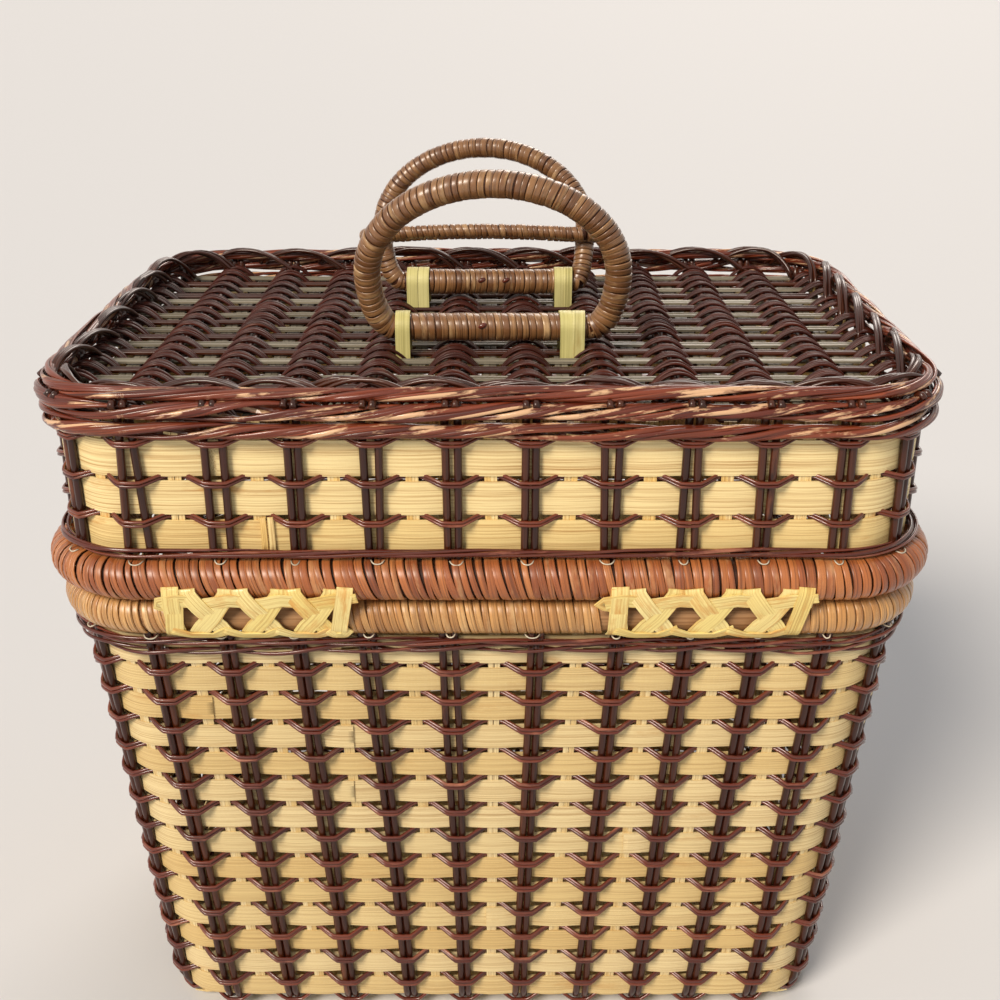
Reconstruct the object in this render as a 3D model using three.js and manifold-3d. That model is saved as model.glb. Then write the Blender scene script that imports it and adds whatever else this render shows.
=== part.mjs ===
// Picnic basket of bamboo strip, split cane and wrapped rattan, with a deep hinged lid.
// Millimetres, +Z up. The origin is on the floor under the middle of the basket.
// The hinged side faces -Y, and the side with the peg fastening faces +Y.
import * as THREE from 'three';
import * as BufferGeometryUtils from 'three/addons/utils/BufferGeometryUtils.js';
import Module from 'manifold-3d';

const wasm = await Module();
wasm.setup();

// Body plan: the line on which the upright stakes stand, at the plane where lid and base part
const stakePairPitch = 34;
const frontPairCount = 10;
const sidePairCount = 6;
const cornerRadius = 40;
const bodyHalfDepth = 130.5;
const bodyHalfWidth = (frontPairCount - 1) / 2 * stakePairPitch + cornerRadius;
const partingHeight = 258;
const baseTaper = 17.8;
const taperDrop = 14;
const gap = 0.3;

// Walls and stakes
const wallThickness = 4;
const stakeThickness = 4;
const stakePairWidth = 8.2;
const stakePairHalfWidth = stakePairWidth / 2;
const stakeHalfThickness = stakeThickness / 2;
const wallFace = -stakeHalfThickness - gap;
const floorEdgeRadius = 14;
const floorLipWidth = 10;
const floorLipThickness = 3.6;
const floorThickness = 7;
const footBandHeight = 7;
const footBandRise = 14;
const twiningHalfHeight = 2.3;
const twiningHalfDepth = 1.7;

// Rows of wide strip in the walls, with a groove between rows where the thin weavers run
const grooveDepth = 1.4;
const baseRowPitch = 16.35;
const baseRowHeight = 11.5;
const baseTopGrooveDrop = 36.2;
const lidRowPitch = 18.3;
const lidRowHeight = 14.8;
const lidLowGrooveRise = 38.1;

// Wrapped hoops at the parting plane
const baseHoopRadius = 9.2;
const baseHoopOffset = -2.5;
const lidHoopRadius = 9.8;
const lidHoopOverhang = 3.5;
const hoopWrapThickness = 1.2;
const lidHoopOffset = baseHoopOffset + lidHoopOverhang;
const baseHoopHeight = partingHeight - baseHoopRadius - gap / 2;
const lidHoopHeight = partingHeight + lidHoopRadius + gap / 2;
const baseWallTop = baseHoopHeight - baseHoopRadius - gap;
const lidWallBottom = lidHoopHeight + lidHoopRadius + gap;

// Lid: wall, woven panel and three twined border bands
const panelRise = 80;
const panelThickness = 4;
const ridgeRise = 6;
const ridgeWidth = 22;
const borderRodHalfDepth = 2.85;
const lowerBandHalfHeight = 4;
const middleBandHalfHeight = 4.4;
const upperBandHalfHeight = 4.1;
const upperBandHalfDepth = 5;
const upperBandOffset = -2;
const upperBandDrop = 3.2;
const stakeCollarHeight = 6;
const stakeCollarDrop = 2;
const panelBottom = partingHeight + panelRise;
const panelTop = panelBottom + panelThickness;
const ridgeTop = panelTop + ridgeRise;
const panelOffset = wallFace - gap;
const lidWallTop = panelBottom - gap;
const lidStakeTop = panelTop + stakeCollarDrop + stakeCollarHeight / 3;
const topStakeThickness = 3.6;
const topStakePairWidth = 7.4;
const topStakeRoof = 5;
const topStakeEndSetback = 3;
const topStickPitch = 13.8;
const topStickWidth = 4.6;
const topStickRise = 2.6;
const ridgeCrownWidth = 12;

// Handles: a D of wrapped rattan, whose straight run is tied down to the lid
const barRadius = 6.8;
const barEndTaper = 2;
const barHeight = ridgeTop + gap + barRadius;
const handleLean = 15;
const frontHandle = {
  x: 1.5, y: -35.4, tubeRadius: 6.4, halfWidth: 59, waist: 28.2, rise: 45.5, bowLeft: 12, bowRight: 12,
};
const rearHandle = {
  x: -4, y: 55.7, tubeRadius: 5.2, halfWidth: 55, waist: 28.2, rise: 43, bowLeft: 11, bowRight: 5,
};
const tieThickness = 1.2;
const frontTieLeft = { side: -1, setback: 3.7, width: 7.2 };
const frontTieRight = { side: 1, setback: 9.1, width: 12 };
const rearTieLeft = { side: -1, setback: 8.4, width: 11.6 };
const rearTieRight = { side: 1, setback: 6.8, width: 9.6 };

// Keeper ring that slides on the rear handle
const keeperRodRadius = 3.6;
const keeperHeight = 24.7;
const keeperClearance = 0.5;

// Laced hinges
const leftLacing = { from: -142, to: -61 };
const rightLacing = { from: 54, to: 140 };

// Peg fastening on the side away from the hinges
const loopRodRadius = 2.6;
const loopHalfWidth = 16;
const loopLength = 62;
const loopCornerRadius = 10;
const loopTieWidth = 14;
const loopTieThickness = 1.3;
const loopTieBite = 1;
const stapleRodRadius = 2.2;
const staplePegClearance = 0.3;
const stapleDrop = 36;
const stapleReach = 8.2;
const pegRadius = 3.5;
const pegLength = 62;
const pegTipRadius = 2.4;
const pegTipLength = 12;
const pegKnobRadius = 5;
const pegKnobLength = 8;
const pegLead = 22;

// Fineness of the curves
const cornerSteps = 6;
const hoopSides = 12;
const rodSides = 8;
const smallRodSides = 6;
const bandSides = 6;
const archSteps = 22;
const footSteps = 5;
const endSteps = 8;
const loopCornerSteps = 4;
const edgeSteps = 4;

const radians = THREE.MathUtils.degToRad;
const quarter = Math.PI / 2;

const cornerX = bodyHalfWidth - cornerRadius;
const cornerY = bodyHalfDepth - cornerRadius;

// How far the base stands in from its line at a height, growing evenly from just below the hoops to the floor
function inset(height) {
  const taperStart = partingHeight - taperDrop;
  return baseTaper * Math.max(0, taperStart - height) / taperStart;
}

// One station of the plan: a middle point and the direction that points out of the basket there
function station(x, y, angle) {
  return { x, y, nx: Math.cos(angle), ny: Math.sin(angle) };
}

// The point of a station at an offset and a height. The corners keep their radius down the taper
function place(at, offset, height) {
  const reach = cornerRadius + offset;
  const x = at.x * (1 - inset(height) / cornerX) + reach * at.nx;
  const y = at.y * (1 - inset(height) / cornerY) + reach * at.ny;
  return [x, y, height];
}

// Stations round one corner, counterclockwise, where corner 0 is back right
function cornerStations(corner) {
  const side = [[1, 1], [-1, 1], [-1, -1], [1, -1]][corner];
  const list = [];
  for (let i = 0; i <= cornerSteps; i += 1) {
    const angle = (corner + i / cornerSteps) * quarter;
    list.push(station(side[0] * cornerX, side[1] * cornerY, angle));
  }
  return list;
}

const allStations = [0, 1, 2, 3].flatMap(cornerStations);

function frontStation(x) {
  return station(x, -cornerY, 3 * quarter);
}

function backStation(x) {
  return station(x, cornerY, quarter);
}

// A mesh from a list of corners and a list of faces
function solidFrom(points, faces) {
  const geometry = new THREE.BufferGeometry();
  geometry.setAttribute('position', new THREE.Float32BufferAttribute(points.flat(), 3));
  geometry.setIndex(faces.flat());
  return geometry;
}

// Faces between two neighbouring rows of a grid whose rows close on themselves
function closedRowFaces(first, second, count) {
  const faces = [];
  for (let j = 0; j < count; j += 1) {
    const k = (j + 1) % count;
    faces.push([first + j, second + j, second + k], [first + j, second + k, first + k]);
  }
  return faces;
}

// A ring round the whole basket: a closed profile of [offset, height], counterclockwise
function ringSolid(profile) {
  const points = [];
  const faces = [];
  allStations.forEach((at, i) => {
    const next = (i + 1) % allStations.length;
    profile.forEach(([offset, height]) => points.push(place(at, offset, height)));
    faces.push(...closedRowFaces(i * profile.length, next * profile.length, profile.length));
  });
  return solidFrom(points, faces);
}

// An ellipse as a profile
function oval(offset, height, halfDepth, halfHeight, sides) {
  return Array.from({ length: sides }, (unused, i) => {
    const angle = i / sides * 2 * Math.PI;
    return [offset + halfDepth * Math.cos(angle), height + halfHeight * Math.sin(angle)];
  });
}

// A sleeve along part of the plan: the space between two profiles, closed at both ends
function sleeveSolid(stations, outer, inner) {
  const count = outer.length;
  const points = [];
  const faces = [];
  stations.forEach((at, i) => {
    outer.forEach(([offset, height]) => points.push(place(at, offset, height)));
    inner.forEach(([offset, height]) => points.push(place(at, offset, height)));
    if (i > 0) {
      const row = i * 2 * count;
      const last = row - 2 * count;
      faces.push(...closedRowFaces(last, row, count));
      faces.push(...closedRowFaces(row + count, last + count, count));
    }
  });
  const end = (stations.length - 1) * 2 * count;
  faces.push(...closedRowFaces(count, 0, count), ...closedRowFaces(end, end + count, count));
  return solidFrom(points, faces);
}

// A round rod along a closed flat path: each point has a place and an outward direction
function closedRod(path, across, radius, sides) {
  const points = [];
  const faces = [];
  path.forEach(({ point, outward }, i) => {
    const next = (i + 1) % path.length;
    for (let j = 0; j < sides; j += 1) {
      const angle = j / sides * 2 * Math.PI;
      const reach = outward.clone().multiplyScalar(radius * Math.cos(angle));
      reach.addScaledVector(across, radius * Math.sin(angle));
      points.push(point.clone().add(reach).toArray());
    }
    faces.push(...closedRowFaces(i * sides, next * sides, sides));
  });
  return solidFrom(points, faces);
}

// Booleans on closed meshes
function toManifold(geometry) {
  const plain = geometry.clone();
  plain.deleteAttribute('normal');
  plain.deleteAttribute('uv');
  const merged = BufferGeometryUtils.mergeVertices(plain);
  return new wasm.Manifold(new wasm.Mesh({
    numProp: 3,
    vertProperties: new Float32Array(merged.attributes.position.array),
    triVerts: new Uint32Array(merged.index.array),
  }));
}

function fromManifold(solid) {
  const mesh = solid.getMesh();
  const geometry = new THREE.BufferGeometry();
  geometry.setAttribute('position', new THREE.BufferAttribute(new Float32Array(mesh.vertProperties), 3));
  geometry.setIndex(new THREE.BufferAttribute(new Uint32Array(mesh.triVerts), 1));
  return geometry;
}

function join(geometries) {
  return fromManifold(geometries.map(toManifold).reduce((sum, one) => sum.add(one)));
}

function cut(geometry, tools) {
  return fromManifold(tools.map(toManifold).reduce((rest, one) => rest.subtract(one), toManifold(geometry)));
}

function common(first, second) {
  return fromManifold(toManifold(first).intersect(toManifold(second)));
}

// A flat shape in the X-Z plane, carried along Y with its middle at zero
function alongY(shape, length) {
  const geometry = new THREE.ExtrudeGeometry(shape, { depth: length, bevelEnabled: false });
  return geometry.rotateX(quarter).translate(0, length / 2, 0);
}

// A flat shape in the Y-Z plane, carried along X from one place to another
function alongX(shape, from, to) {
  const geometry = new THREE.ExtrudeGeometry(shape, { depth: to - from, bevelEnabled: false });
  return geometry.rotateX(quarter).rotateZ(quarter).translate(from, 0, 0);
}

function shapeOf(points) {
  return new THREE.Shape(points.map(([across, up]) => new THREE.Vector2(across, up)));
}

// The two rounded backs of a pair of stakes that lie side by side, as a flat outline
const pairBackShare = 0.3;
const pairValleyShare = 0.35;
function pairOutline(halfWidth, halfThickness) {
  const shoulder = halfThickness * pairBackShare;
  const valley = halfThickness * pairValleyShare;
  return [
    [-halfWidth, -halfThickness], [halfWidth, -halfThickness], [halfWidth, shoulder],
    [halfWidth / 2, halfThickness], [0, valley], [-halfWidth / 2, halfThickness], [-halfWidth, shoulder],
  ];
}

// One upright pair from a low to a high place on the same station
function uprightPair(at, low, high) {
  const outline = pairOutline(stakePairHalfWidth, stakeHalfThickness);
  const points = [low, high].flatMap((height) => {
    const [x, y] = place(at, 0, height);
    return outline.map(([across, out]) => {
      return [x + out * at.nx - across * at.ny, y + out * at.ny + across * at.nx, height];
    });
  });
  const count = outline.length;
  const faces = closedRowFaces(0, count, count);
  const flat = outline.map(([across, out]) => new THREE.Vector2(across, out));
  THREE.ShapeUtils.triangulateShape(flat, []).forEach(([a, b, c]) => {
    faces.push([c, b, a].map((i) => i + count), [a, b, c]);
  });
  return solidFrom(points, faces);
}

// Stations of all the upright pairs: front, back, both ends and one at each corner
function pairStations() {
  const list = [];
  for (let i = 0; i < frontPairCount; i += 1) {
    const x = (i - (frontPairCount - 1) / 2) * stakePairPitch;
    list.push(frontStation(x), backStation(x));
  }
  for (let i = 0; i < sidePairCount; i += 1) {
    const y = (i / (sidePairCount - 1) * 2 - 1) * cornerY;
    list.push(station(cornerX, y, 0), station(-cornerX, y, 2 * quarter));
  }
  for (let corner = 0; corner < 4; corner += 1) {
    const middle = cornerStations(corner)[cornerSteps / 2];
    list.push(middle);
  }
  return list;
}

// A cage of upright pairs, held together by one flat collar
const collarShare = 0.6;
function stakeCage(low, high, collarLow, collarHigh) {
  const half = stakeHalfThickness * collarShare;
  const collar = ringSolid([[half, collarLow], [half, collarHigh], [-half, collarHigh], [-half, collarLow]]);
  return join([collar, ...pairStations().map((at) => uprightPair(at, low, high))]);
}

// Steps in a wall's outer face, from the lowest groove to the highest
function grooveSteps(lowest, count, pitch, rowHeight) {
  const half = (pitch - rowHeight) / 2;
  const back = wallFace - grooveDepth;
  return Array.from({ length: count }, (unused, i) => lowest + i * pitch).flatMap((height) => [
    [wallFace, height - half], [back, height - half], [back, height + half], [wallFace, height + half],
  ]);
}

// Base: the wall turns in at the bottom to a lip that carries the floor
function baseGrooves() {
  const highest = partingHeight - baseTopGrooveDrop;
  const spaces = Math.floor((highest - floorEdgeRadius) / baseRowPitch - 1 / 2);
  return grooveSteps(highest - spaces * baseRowPitch, spaces + 1, baseRowPitch, baseRowHeight);
}

function baseWallShape() {
  const profile = [];
  for (let i = 0; i <= edgeSteps; i += 1) {
    const angle = -quarter + i / edgeSteps * quarter;
    const reach = wallFace - floorEdgeRadius + floorEdgeRadius * Math.cos(angle);
    profile.push([reach, floorEdgeRadius + floorEdgeRadius * Math.sin(angle)]);
  }
  const inner = wallFace - wallThickness;
  const innerRadius = floorEdgeRadius - wallThickness;
  const lip = wallFace - floorEdgeRadius;
  profile.push(...baseGrooves(), [wallFace, baseWallTop], [inner, baseWallTop], [inner, floorEdgeRadius]);
  profile.push([inner - innerRadius / 2, floorLipThickness + innerRadius / 2], [lip, floorLipThickness]);
  profile.push([lip - floorLipWidth, floorLipThickness], [lip - floorLipWidth, 0]);
  return ringSolid(profile);
}

// A flat plate with the plan of the basket at an offset, standing between two heights
function planPlate(offset, low, high) {
  const points = allStations.map((at) => place(at, offset, low));
  const geometry = new THREE.ExtrudeGeometry(shapeOf(points), { depth: high - low, bevelEnabled: false });
  return geometry.translate(0, 0, low);
}

function baseFloorShape() {
  const opening = wallFace - floorEdgeRadius - floorLipWidth;
  const seat = floorLipThickness + gap;
  const plug = planPlate(opening - gap, 0, floorThickness);
  const flange = planPlate(opening + floorLipWidth * 2 / 3, seat, floorThickness);
  return join([plug, flange]);
}

function baseStakesShape() {
  return stakeCage(footBandRise, baseWallTop, footBandRise, footBandRise + footBandHeight);
}

function baseTwiningShape() {
  const height = baseWallTop - twiningHalfHeight - gap;
  const offset = stakeHalfThickness + gap + twiningHalfDepth;
  return ringSolid(oval(offset, height, twiningHalfDepth, twiningHalfHeight, bandSides));
}

// Lid
function lidWallShape() {
  const lowest = partingHeight + lidLowGrooveRise;
  const count = Math.floor((lidWallTop - lowest) / lidRowPitch + 1 - 1 / 6);
  const grooves = grooveSteps(lowest, count, lidRowPitch, lidRowHeight);
  const inner = wallFace - wallThickness;
  const back = [[inner, lidWallTop], [inner, lidWallBottom]];
  return ringSolid([[wallFace, lidWallBottom], ...grooves, [wallFace, lidWallTop], ...back]);
}

function lidStakesShape() {
  return stakeCage(lidWallBottom, lidStakeTop, lidStakeTop - stakeCollarHeight, lidStakeTop);
}

function lidTwiningShape() {
  const offset = stakeHalfThickness + gap + twiningHalfDepth;
  const height = lidWallBottom + twiningHalfHeight + gap;
  return ringSolid(oval(offset, height, twiningHalfDepth, twiningHalfHeight, bandSides));
}

const bandOffset = stakeHalfThickness + gap + borderRodHalfDepth;
const lowerBandHeight = panelBottom;
const middleBandHeight = lowerBandHeight + lowerBandHalfHeight + gap + middleBandHalfHeight;
const upperBandHeight = middleBandHeight + middleBandHalfHeight + upperBandHalfHeight - upperBandDrop;

function borderBand(offset, height, halfDepth, halfHeight) {
  return ringSolid(oval(offset, height, halfDepth, halfHeight, rodSides));
}

function ridgePlaces() {
  const last = frontPairCount - 1;
  return Array.from({ length: frontPairCount }, (unused, i) => (i - last / 2) * stakePairPitch);
}

// The panel's section: flat between the ridges, with a sloping rise over each pair of stakes
function panelOutline() {
  const half = bodyHalfWidth;
  const foot = ridgeWidth / 2;
  const crown = ridgeCrownWidth / 2;
  const top = ridgePlaces().flatMap((x) => [
    [x - foot, panelTop], [x - crown, ridgeTop], [x + crown, ridgeTop], [x + foot, panelTop],
  ]);
  return [[-half, panelBottom], [half, panelBottom], [half, panelTop], ...top.reverse(), [-half, panelTop]];
}

// A box that runs along X right across the panel, at a depth and between two heights
function crossBar(y, width, low, high) {
  const bar = new THREE.BoxGeometry(2 * bodyHalfWidth, width, high - low);
  return bar.translate(0, y, (low + high) / 2);
}

// The top's sticks lie an even number of rows apart, half of them on each side of the middle
function stickPlaces() {
  const half = Math.floor((bodyHalfDepth + panelOffset) / topStickPitch);
  return Array.from({ length: 2 * half }, (unused, i) => (i - half + 1 / 2) * topStickPitch);
}

// The channel under a ridge, where its pair of stakes lies
function stakeChannel(x) {
  const height = topStakeRoof + gap;
  const channel = new THREE.BoxGeometry(topStakePairWidth + 2 * gap, 2 * bodyHalfDepth, height);
  return channel.translate(x, 0, panelBottom + topStakeRoof - height / 2);
}

const ties = [
  ['front_tie_left', frontHandle, frontTieLeft], ['front_tie_right', frontHandle, frontTieRight],
  ['rear_tie_left', rearHandle, rearTieLeft], ['rear_tie_right', rearHandle, rearTieRight],
];

// Where a handle's legs meet its bar, from the handle's middle
function footPlace(handle, side) {
  return side * handle.halfWidth - (side < 0 ? -handle.bowLeft : handle.bowRight);
}

// A tie keeps its distance from the handle's foot on its side, and goes down beside a ridge's stakes:
// a place that would meet them moves towards the handle's middle
function tiePlace(handle, tie) {
  const x = handle.x + footPlace(handle, tie.side) - tie.side * tie.setback;
  const clear = (tie.width + topStakePairWidth) / 2 + gap;
  const met = ridgePlaces().find((ridge) => Math.abs(x - ridge) < clear);
  return met === undefined ? x : met - tie.side * clear;
}

// Two slots in the panel, where the two legs of a tie pass through
function tieSlots([, handle, tie]) {
  const height = ridgeTop - panelBottom + 2 * gap;
  return [-1, 1].map((side) => {
    const slot = new THREE.BoxGeometry(tie.width + 2 * gap, tieThickness + 2 * gap, height);
    const reach = barRadius + gap + tieThickness / 2;
    return slot.translate(tiePlace(handle, tie), handle.y + side * reach, panelBottom + height / 2 - gap);
  });
}

// The panel: sticks cross the ridges below their crowns, and part each ridge into tiles
function lidPanelShape() {
  const sheet = alongY(shapeOf(panelOutline()), 2 * bodyHalfDepth);
  const stickTop = panelTop + topStickRise;
  const stickFoot = panelTop - panelThickness / 2;
  const cuts = stickPlaces().map((y) => crossBar(y, topStickWidth, stickTop, ridgeTop + gap));
  const sticks = stickPlaces().map((y) => crossBar(y, topStickWidth, stickFoot, stickTop));
  const woven = join([cut(sheet, cuts), ...sticks]);
  const trimmed = common(woven, planPlate(panelOffset, panelBottom - gap, ridgeTop + gap));
  return cut(trimmed, [...ridgePlaces().map(stakeChannel), ...ties.flatMap(tieSlots)]);
}

function topStakePairShape() {
  const outline = shapeOf(pairOutline(topStakePairWidth / 2, topStakeThickness / 2));
  return alongY(outline, 2 * (bodyHalfDepth + panelOffset - topStakeEndSetback));
}

// Hoops: a bare core, and the wrapping as sleeves round it
function hoopSleeve(stations, offset, height, radius) {
  const inside = radius - hoopWrapThickness;
  return sleeveSolid(
    stations,
    oval(offset, height, radius, radius, hoopSides),
    oval(offset, height, inside, inside, hoopSides),
  );
}

function hoopCore(offset, height, radius) {
  const core = radius - hoopWrapThickness - gap;
  return ringSolid(oval(offset, height, core, core, hoopSides));
}

const leftFrontCorner = cornerStations(2);
const rightFrontCorner = cornerStations(3);
const rightBackCorner = cornerStations(0);
const leftBackCorner = cornerStations(1);
const betweenLacings = [frontStation(leftLacing.to + gap), frontStation(rightLacing.from - gap)];
const roundRight = [frontStation(rightLacing.to + gap), ...rightFrontCorner, ...rightBackCorner];
const roundLeft = [...leftBackCorner, ...leftFrontCorner, frontStation(leftLacing.from - gap)];
const loopTieHalf = loopTieWidth / 2;

function baseSleeve(stations) {
  return hoopSleeve(stations, baseHoopOffset, baseHoopHeight, baseHoopRadius);
}

function lidSleeve(stations) {
  return hoopSleeve(stations, lidHoopOffset, lidHoopHeight, lidHoopRadius);
}

// Laced hinge: each half is a band round its hoop with a front that reaches the hinge line
const hingeY = -(bodyHalfDepth + lidHoopOffset + lidHoopRadius);

function bandShape(y, height, outside, inside) {
  const ring = shapeOf(oval(y, height, outside, outside, hoopSides));
  ring.holes.push(shapeOf(oval(y, height, inside, inside, hoopSides)));
  return ring;
}

function lacingHalf(lacing, offset, height, radius, side) {
  const y = -(bodyHalfDepth + offset);
  const edge = partingHeight + side * gap / 2;
  const depth = hoopWrapThickness;
  const face = y - radius;
  const front = shapeOf([[hingeY, edge], [hingeY + depth, edge], [face + depth, height], [face, height]]);
  const band = alongX(bandShape(y, height, radius, radius - hoopWrapThickness), lacing.from, lacing.to);
  return join([band, alongX(front, lacing.from, lacing.to)]);
}

function upperLacing(lacing) {
  return lacingHalf(lacing, lidHoopOffset, lidHoopHeight, lidHoopRadius, 1);
}

function lowerLacing(lacing) {
  return lacingHalf(lacing, baseHoopOffset, baseHoopHeight, baseHoopRadius, -1);
}

// Handle: half an ellipse above the waist, a quarter ellipse down to each foot, and the straight bar
function handlePath(handle) {
  const points = [];
  for (let i = 0; i <= archSteps; i += 1) {
    const angle = i / archSteps * 2 * quarter;
    points.push([handle.halfWidth * Math.cos(angle), handle.waist + handle.rise * Math.sin(angle)]);
  }
  for (let i = 1; i <= footSteps; i += 1) {
    const angle = i / footSteps * quarter;
    const across = footPlace(handle, -1) - handle.bowLeft * Math.cos(angle);
    points.push([across, handle.waist * (1 - Math.sin(angle))]);
  }
  for (let i = 0; i < footSteps; i += 1) {
    const angle = quarter - i / footSteps * quarter;
    const across = footPlace(handle, 1) + handle.bowRight * Math.cos(angle);
    points.push([across, handle.waist * (1 - Math.sin(angle))]);
  }
  return points;
}

// Gives each point of a closed flat path the direction that points out of it
function withOutward(points, toVector) {
  return points.map(([u, v], i) => {
    const before = points[(i + points.length - 1) % points.length];
    const after = points[(i + 1) % points.length];
    const along = new THREE.Vector2(after[0] - before[0], after[1] - before[1]).normalize();
    return { point: toVector(u, v), outward: toVector(along.y, -along.x) };
  });
}

function upright(u, v) {
  return new THREE.Vector3(u, 0, v);
}

function level(u, v) {
  return new THREE.Vector3(u, v, 0);
}

function barShape(handle) {
  const left = footPlace(handle, -1);
  const right = footPlace(handle, 1);
  const end = barRadius - barEndTaper;
  const profile = [
    [0, left - barEndTaper], [end, left - barEndTaper], [barRadius, left],
    [barRadius, right], [end, right + barEndTaper], [0, right + barEndTaper],
  ];
  const points = profile.map(([radius, along]) => new THREE.Vector2(radius, along));
  return new THREE.LatheGeometry(points, hoopSides).rotateZ(-quarter);
}

function handleShape(handle) {
  const path = withOutward(handlePath(handle), upright);
  const arch = closedRod(path, new THREE.Vector3(0, -1, 0), handle.tubeRadius, rodSides);
  return join([arch, barShape(handle)]);
}

// Tie: a closed band over the bar and down through the panel
function tieShape(handle, tie) {
  const inside = barRadius + gap;
  const outside = inside + tieThickness;
  const low = panelBottom - gap;
  const arc = (radius) => {
    const points = [];
    for (let i = 0; i <= endSteps; i += 1) {
      const angle = i / endSteps * 2 * quarter;
      const reach = radius / Math.cos(quarter / endSteps);
      points.push([handle.y + reach * Math.cos(angle), barHeight + reach * Math.sin(angle)]);
    }
    return points;
  };
  const bottom = (radius, height) => {
    const reach = radius / Math.cos(quarter / endSteps);
    return [[handle.y - reach, height], [handle.y + reach, height]];
  };
  const band = shapeOf([...arc(outside), ...bottom(outside, low - tieThickness)]);
  band.holes.push(shapeOf([...arc(inside), ...bottom(inside, low)]));
  const x = tiePlace(handle, tie);
  return alongX(band, x - tie.width / 2, x + tie.width / 2);
}

// Keeper ring: two straight runs with round ends, level round the legs of the rear handle
function keeperShape() {
  const halfDepth = rearHandle.tubeRadius + keeperClearance + keeperRodRadius;
  const halfLength = rearHandle.halfWidth + halfDepth;
  const points = [];
  [1, -1].forEach((side) => {
    for (let i = 0; i <= endSteps; i += 1) {
      const angle = (i / endSteps * 2 - 1) * quarter;
      const x = halfLength - halfDepth + halfDepth * Math.cos(angle);
      points.push([side * x, side * halfDepth * Math.sin(angle)]);
    }
  });
  return closedRod(withOutward(points, level), new THREE.Vector3(0, 0, 1), keeperRodRadius, smallRodSides);
}

// Peg fastening: a loop on the lid, a staple on the base, and a peg through the staple
const lidHoopBack = bodyHalfDepth + lidHoopOffset;
const earRadius = loopRodRadius + gap + loopTieThickness;
const loopY = lidHoopBack + lidHoopRadius + earRadius - loopTieBite;
const stapleHeight = partingHeight - stapleDrop;
const stapleBend = pegRadius + staplePegClearance + stapleRodRadius;
const stapleY = loopY + stapleReach;

function loopTieShape() {
  const band = bandShape(lidHoopBack, lidHoopHeight, lidHoopRadius, lidHoopRadius - hoopWrapThickness);
  const ear = bandShape(loopY, lidHoopHeight, earRadius, loopRodRadius + gap);
  const joined = join([alongX(band, -loopTieHalf, loopTieHalf), alongX(ear, -loopTieHalf, loopTieHalf)]);
  const hole = shapeOf(oval(loopY, lidHoopHeight, loopRodRadius + gap, loopRodRadius + gap, hoopSides));
  const core = lidHoopRadius - hoopWrapThickness;
  const bore = shapeOf(oval(lidHoopBack, lidHoopHeight, core, core, hoopSides));
  return cut(joined, [hole, bore].map((shape) => alongX(shape, -loopTieWidth, loopTieWidth)));
}

function loopShape() {
  const corners = [[1, 0], [-1, 0], [-1, -1], [1, -1]];
  const steps = Array.from({ length: loopCornerSteps + 1 }, (unused, i) => i / loopCornerSteps);
  const points = corners.flatMap(([side, low], corner) => steps.map((share) => {
    const angle = (corner + share) * quarter;
    const x = side * (loopHalfWidth - loopCornerRadius) + loopCornerRadius * Math.cos(angle);
    const z = (low ? -loopLength + loopCornerRadius : -loopCornerRadius) + loopCornerRadius * Math.sin(angle);
    return [x, z];
  }));
  return closedRod(withOutward(points, upright), new THREE.Vector3(0, -1, 0), loopRodRadius, smallRodSides);
}

function stapleShape() {
  const root = bodyHalfDepth + wallFace - inset(stapleHeight + stapleBend) + gap;
  const path = new THREE.CurvePath();
  const corner = (y, z) => new THREE.Vector3(0, y, z);
  const top = stapleHeight + stapleBend;
  const bottom = stapleHeight - stapleBend;
  path.add(new THREE.LineCurve3(corner(root, top), corner(stapleY, top)));
  const turn = Array.from({ length: endSteps + 1 }, (unused, i) => {
    const angle = quarter - i / endSteps * 2 * quarter;
    return corner(stapleY + stapleBend * Math.cos(angle), stapleHeight + stapleBend * Math.sin(angle));
  });
  turn.slice(1).forEach((point, i) => path.add(new THREE.LineCurve3(turn[i], point)));
  path.add(new THREE.LineCurve3(corner(stapleY, bottom), corner(root, bottom)));
  const section = shapeOf(oval(0, 0, stapleRodRadius, stapleRodRadius, smallRodSides));
  const steps = 4 * endSteps;
  return new THREE.ExtrudeGeometry(section, { steps, extrudePath: path, bevelEnabled: false });
}

function pegShape() {
  const points = [
    [0, 0], [pegTipRadius, 0], [pegRadius, pegTipLength], [pegRadius, pegLength - pegKnobLength],
    [pegKnobRadius, pegLength - pegKnobLength], [pegKnobRadius, pegLength - pegTipRadius],
    [pegRadius, pegLength], [0, pegLength],
  ];
  const profile = points.map(([radius, along]) => new THREE.Vector2(radius, along));
  return new THREE.LatheGeometry(profile, hoopSides).rotateZ(-quarter);
}

const materials = {
  strip: new THREE.MeshStandardMaterial({ color: 0xdcb877, roughness: 0.6, metalness: 0 }),
  stake: new THREE.MeshStandardMaterial({ color: 0x4a2418, roughness: 0.5, metalness: 0 }),
  weaver: new THREE.MeshStandardMaterial({ color: 0x6b2f22, roughness: 0.5, metalness: 0 }),
  border: new THREE.MeshStandardMaterial({ color: 0x7a3a25, roughness: 0.55, metalness: 0 }),
  core: new THREE.MeshStandardMaterial({ color: 0xd8b98a, roughness: 0.7, metalness: 0 }),
  wrap: new THREE.MeshStandardMaterial({ color: 0xa3652f, roughness: 0.35, metalness: 0 }),
  handle: new THREE.MeshStandardMaterial({ color: 0xa0642f, roughness: 0.3, metalness: 0 }),
  lacing: new THREE.MeshStandardMaterial({ color: 0xe8c65a, roughness: 0.45, metalness: 0 }),
  tie: new THREE.MeshStandardMaterial({ color: 0xd8cc6a, roughness: 0.45, metalness: 0 }),
  panel: new THREE.MeshStandardMaterial({ color: 0x5a3427, roughness: 0.55, metalness: 0 }),
};

const basket = new THREE.Group();

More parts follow.
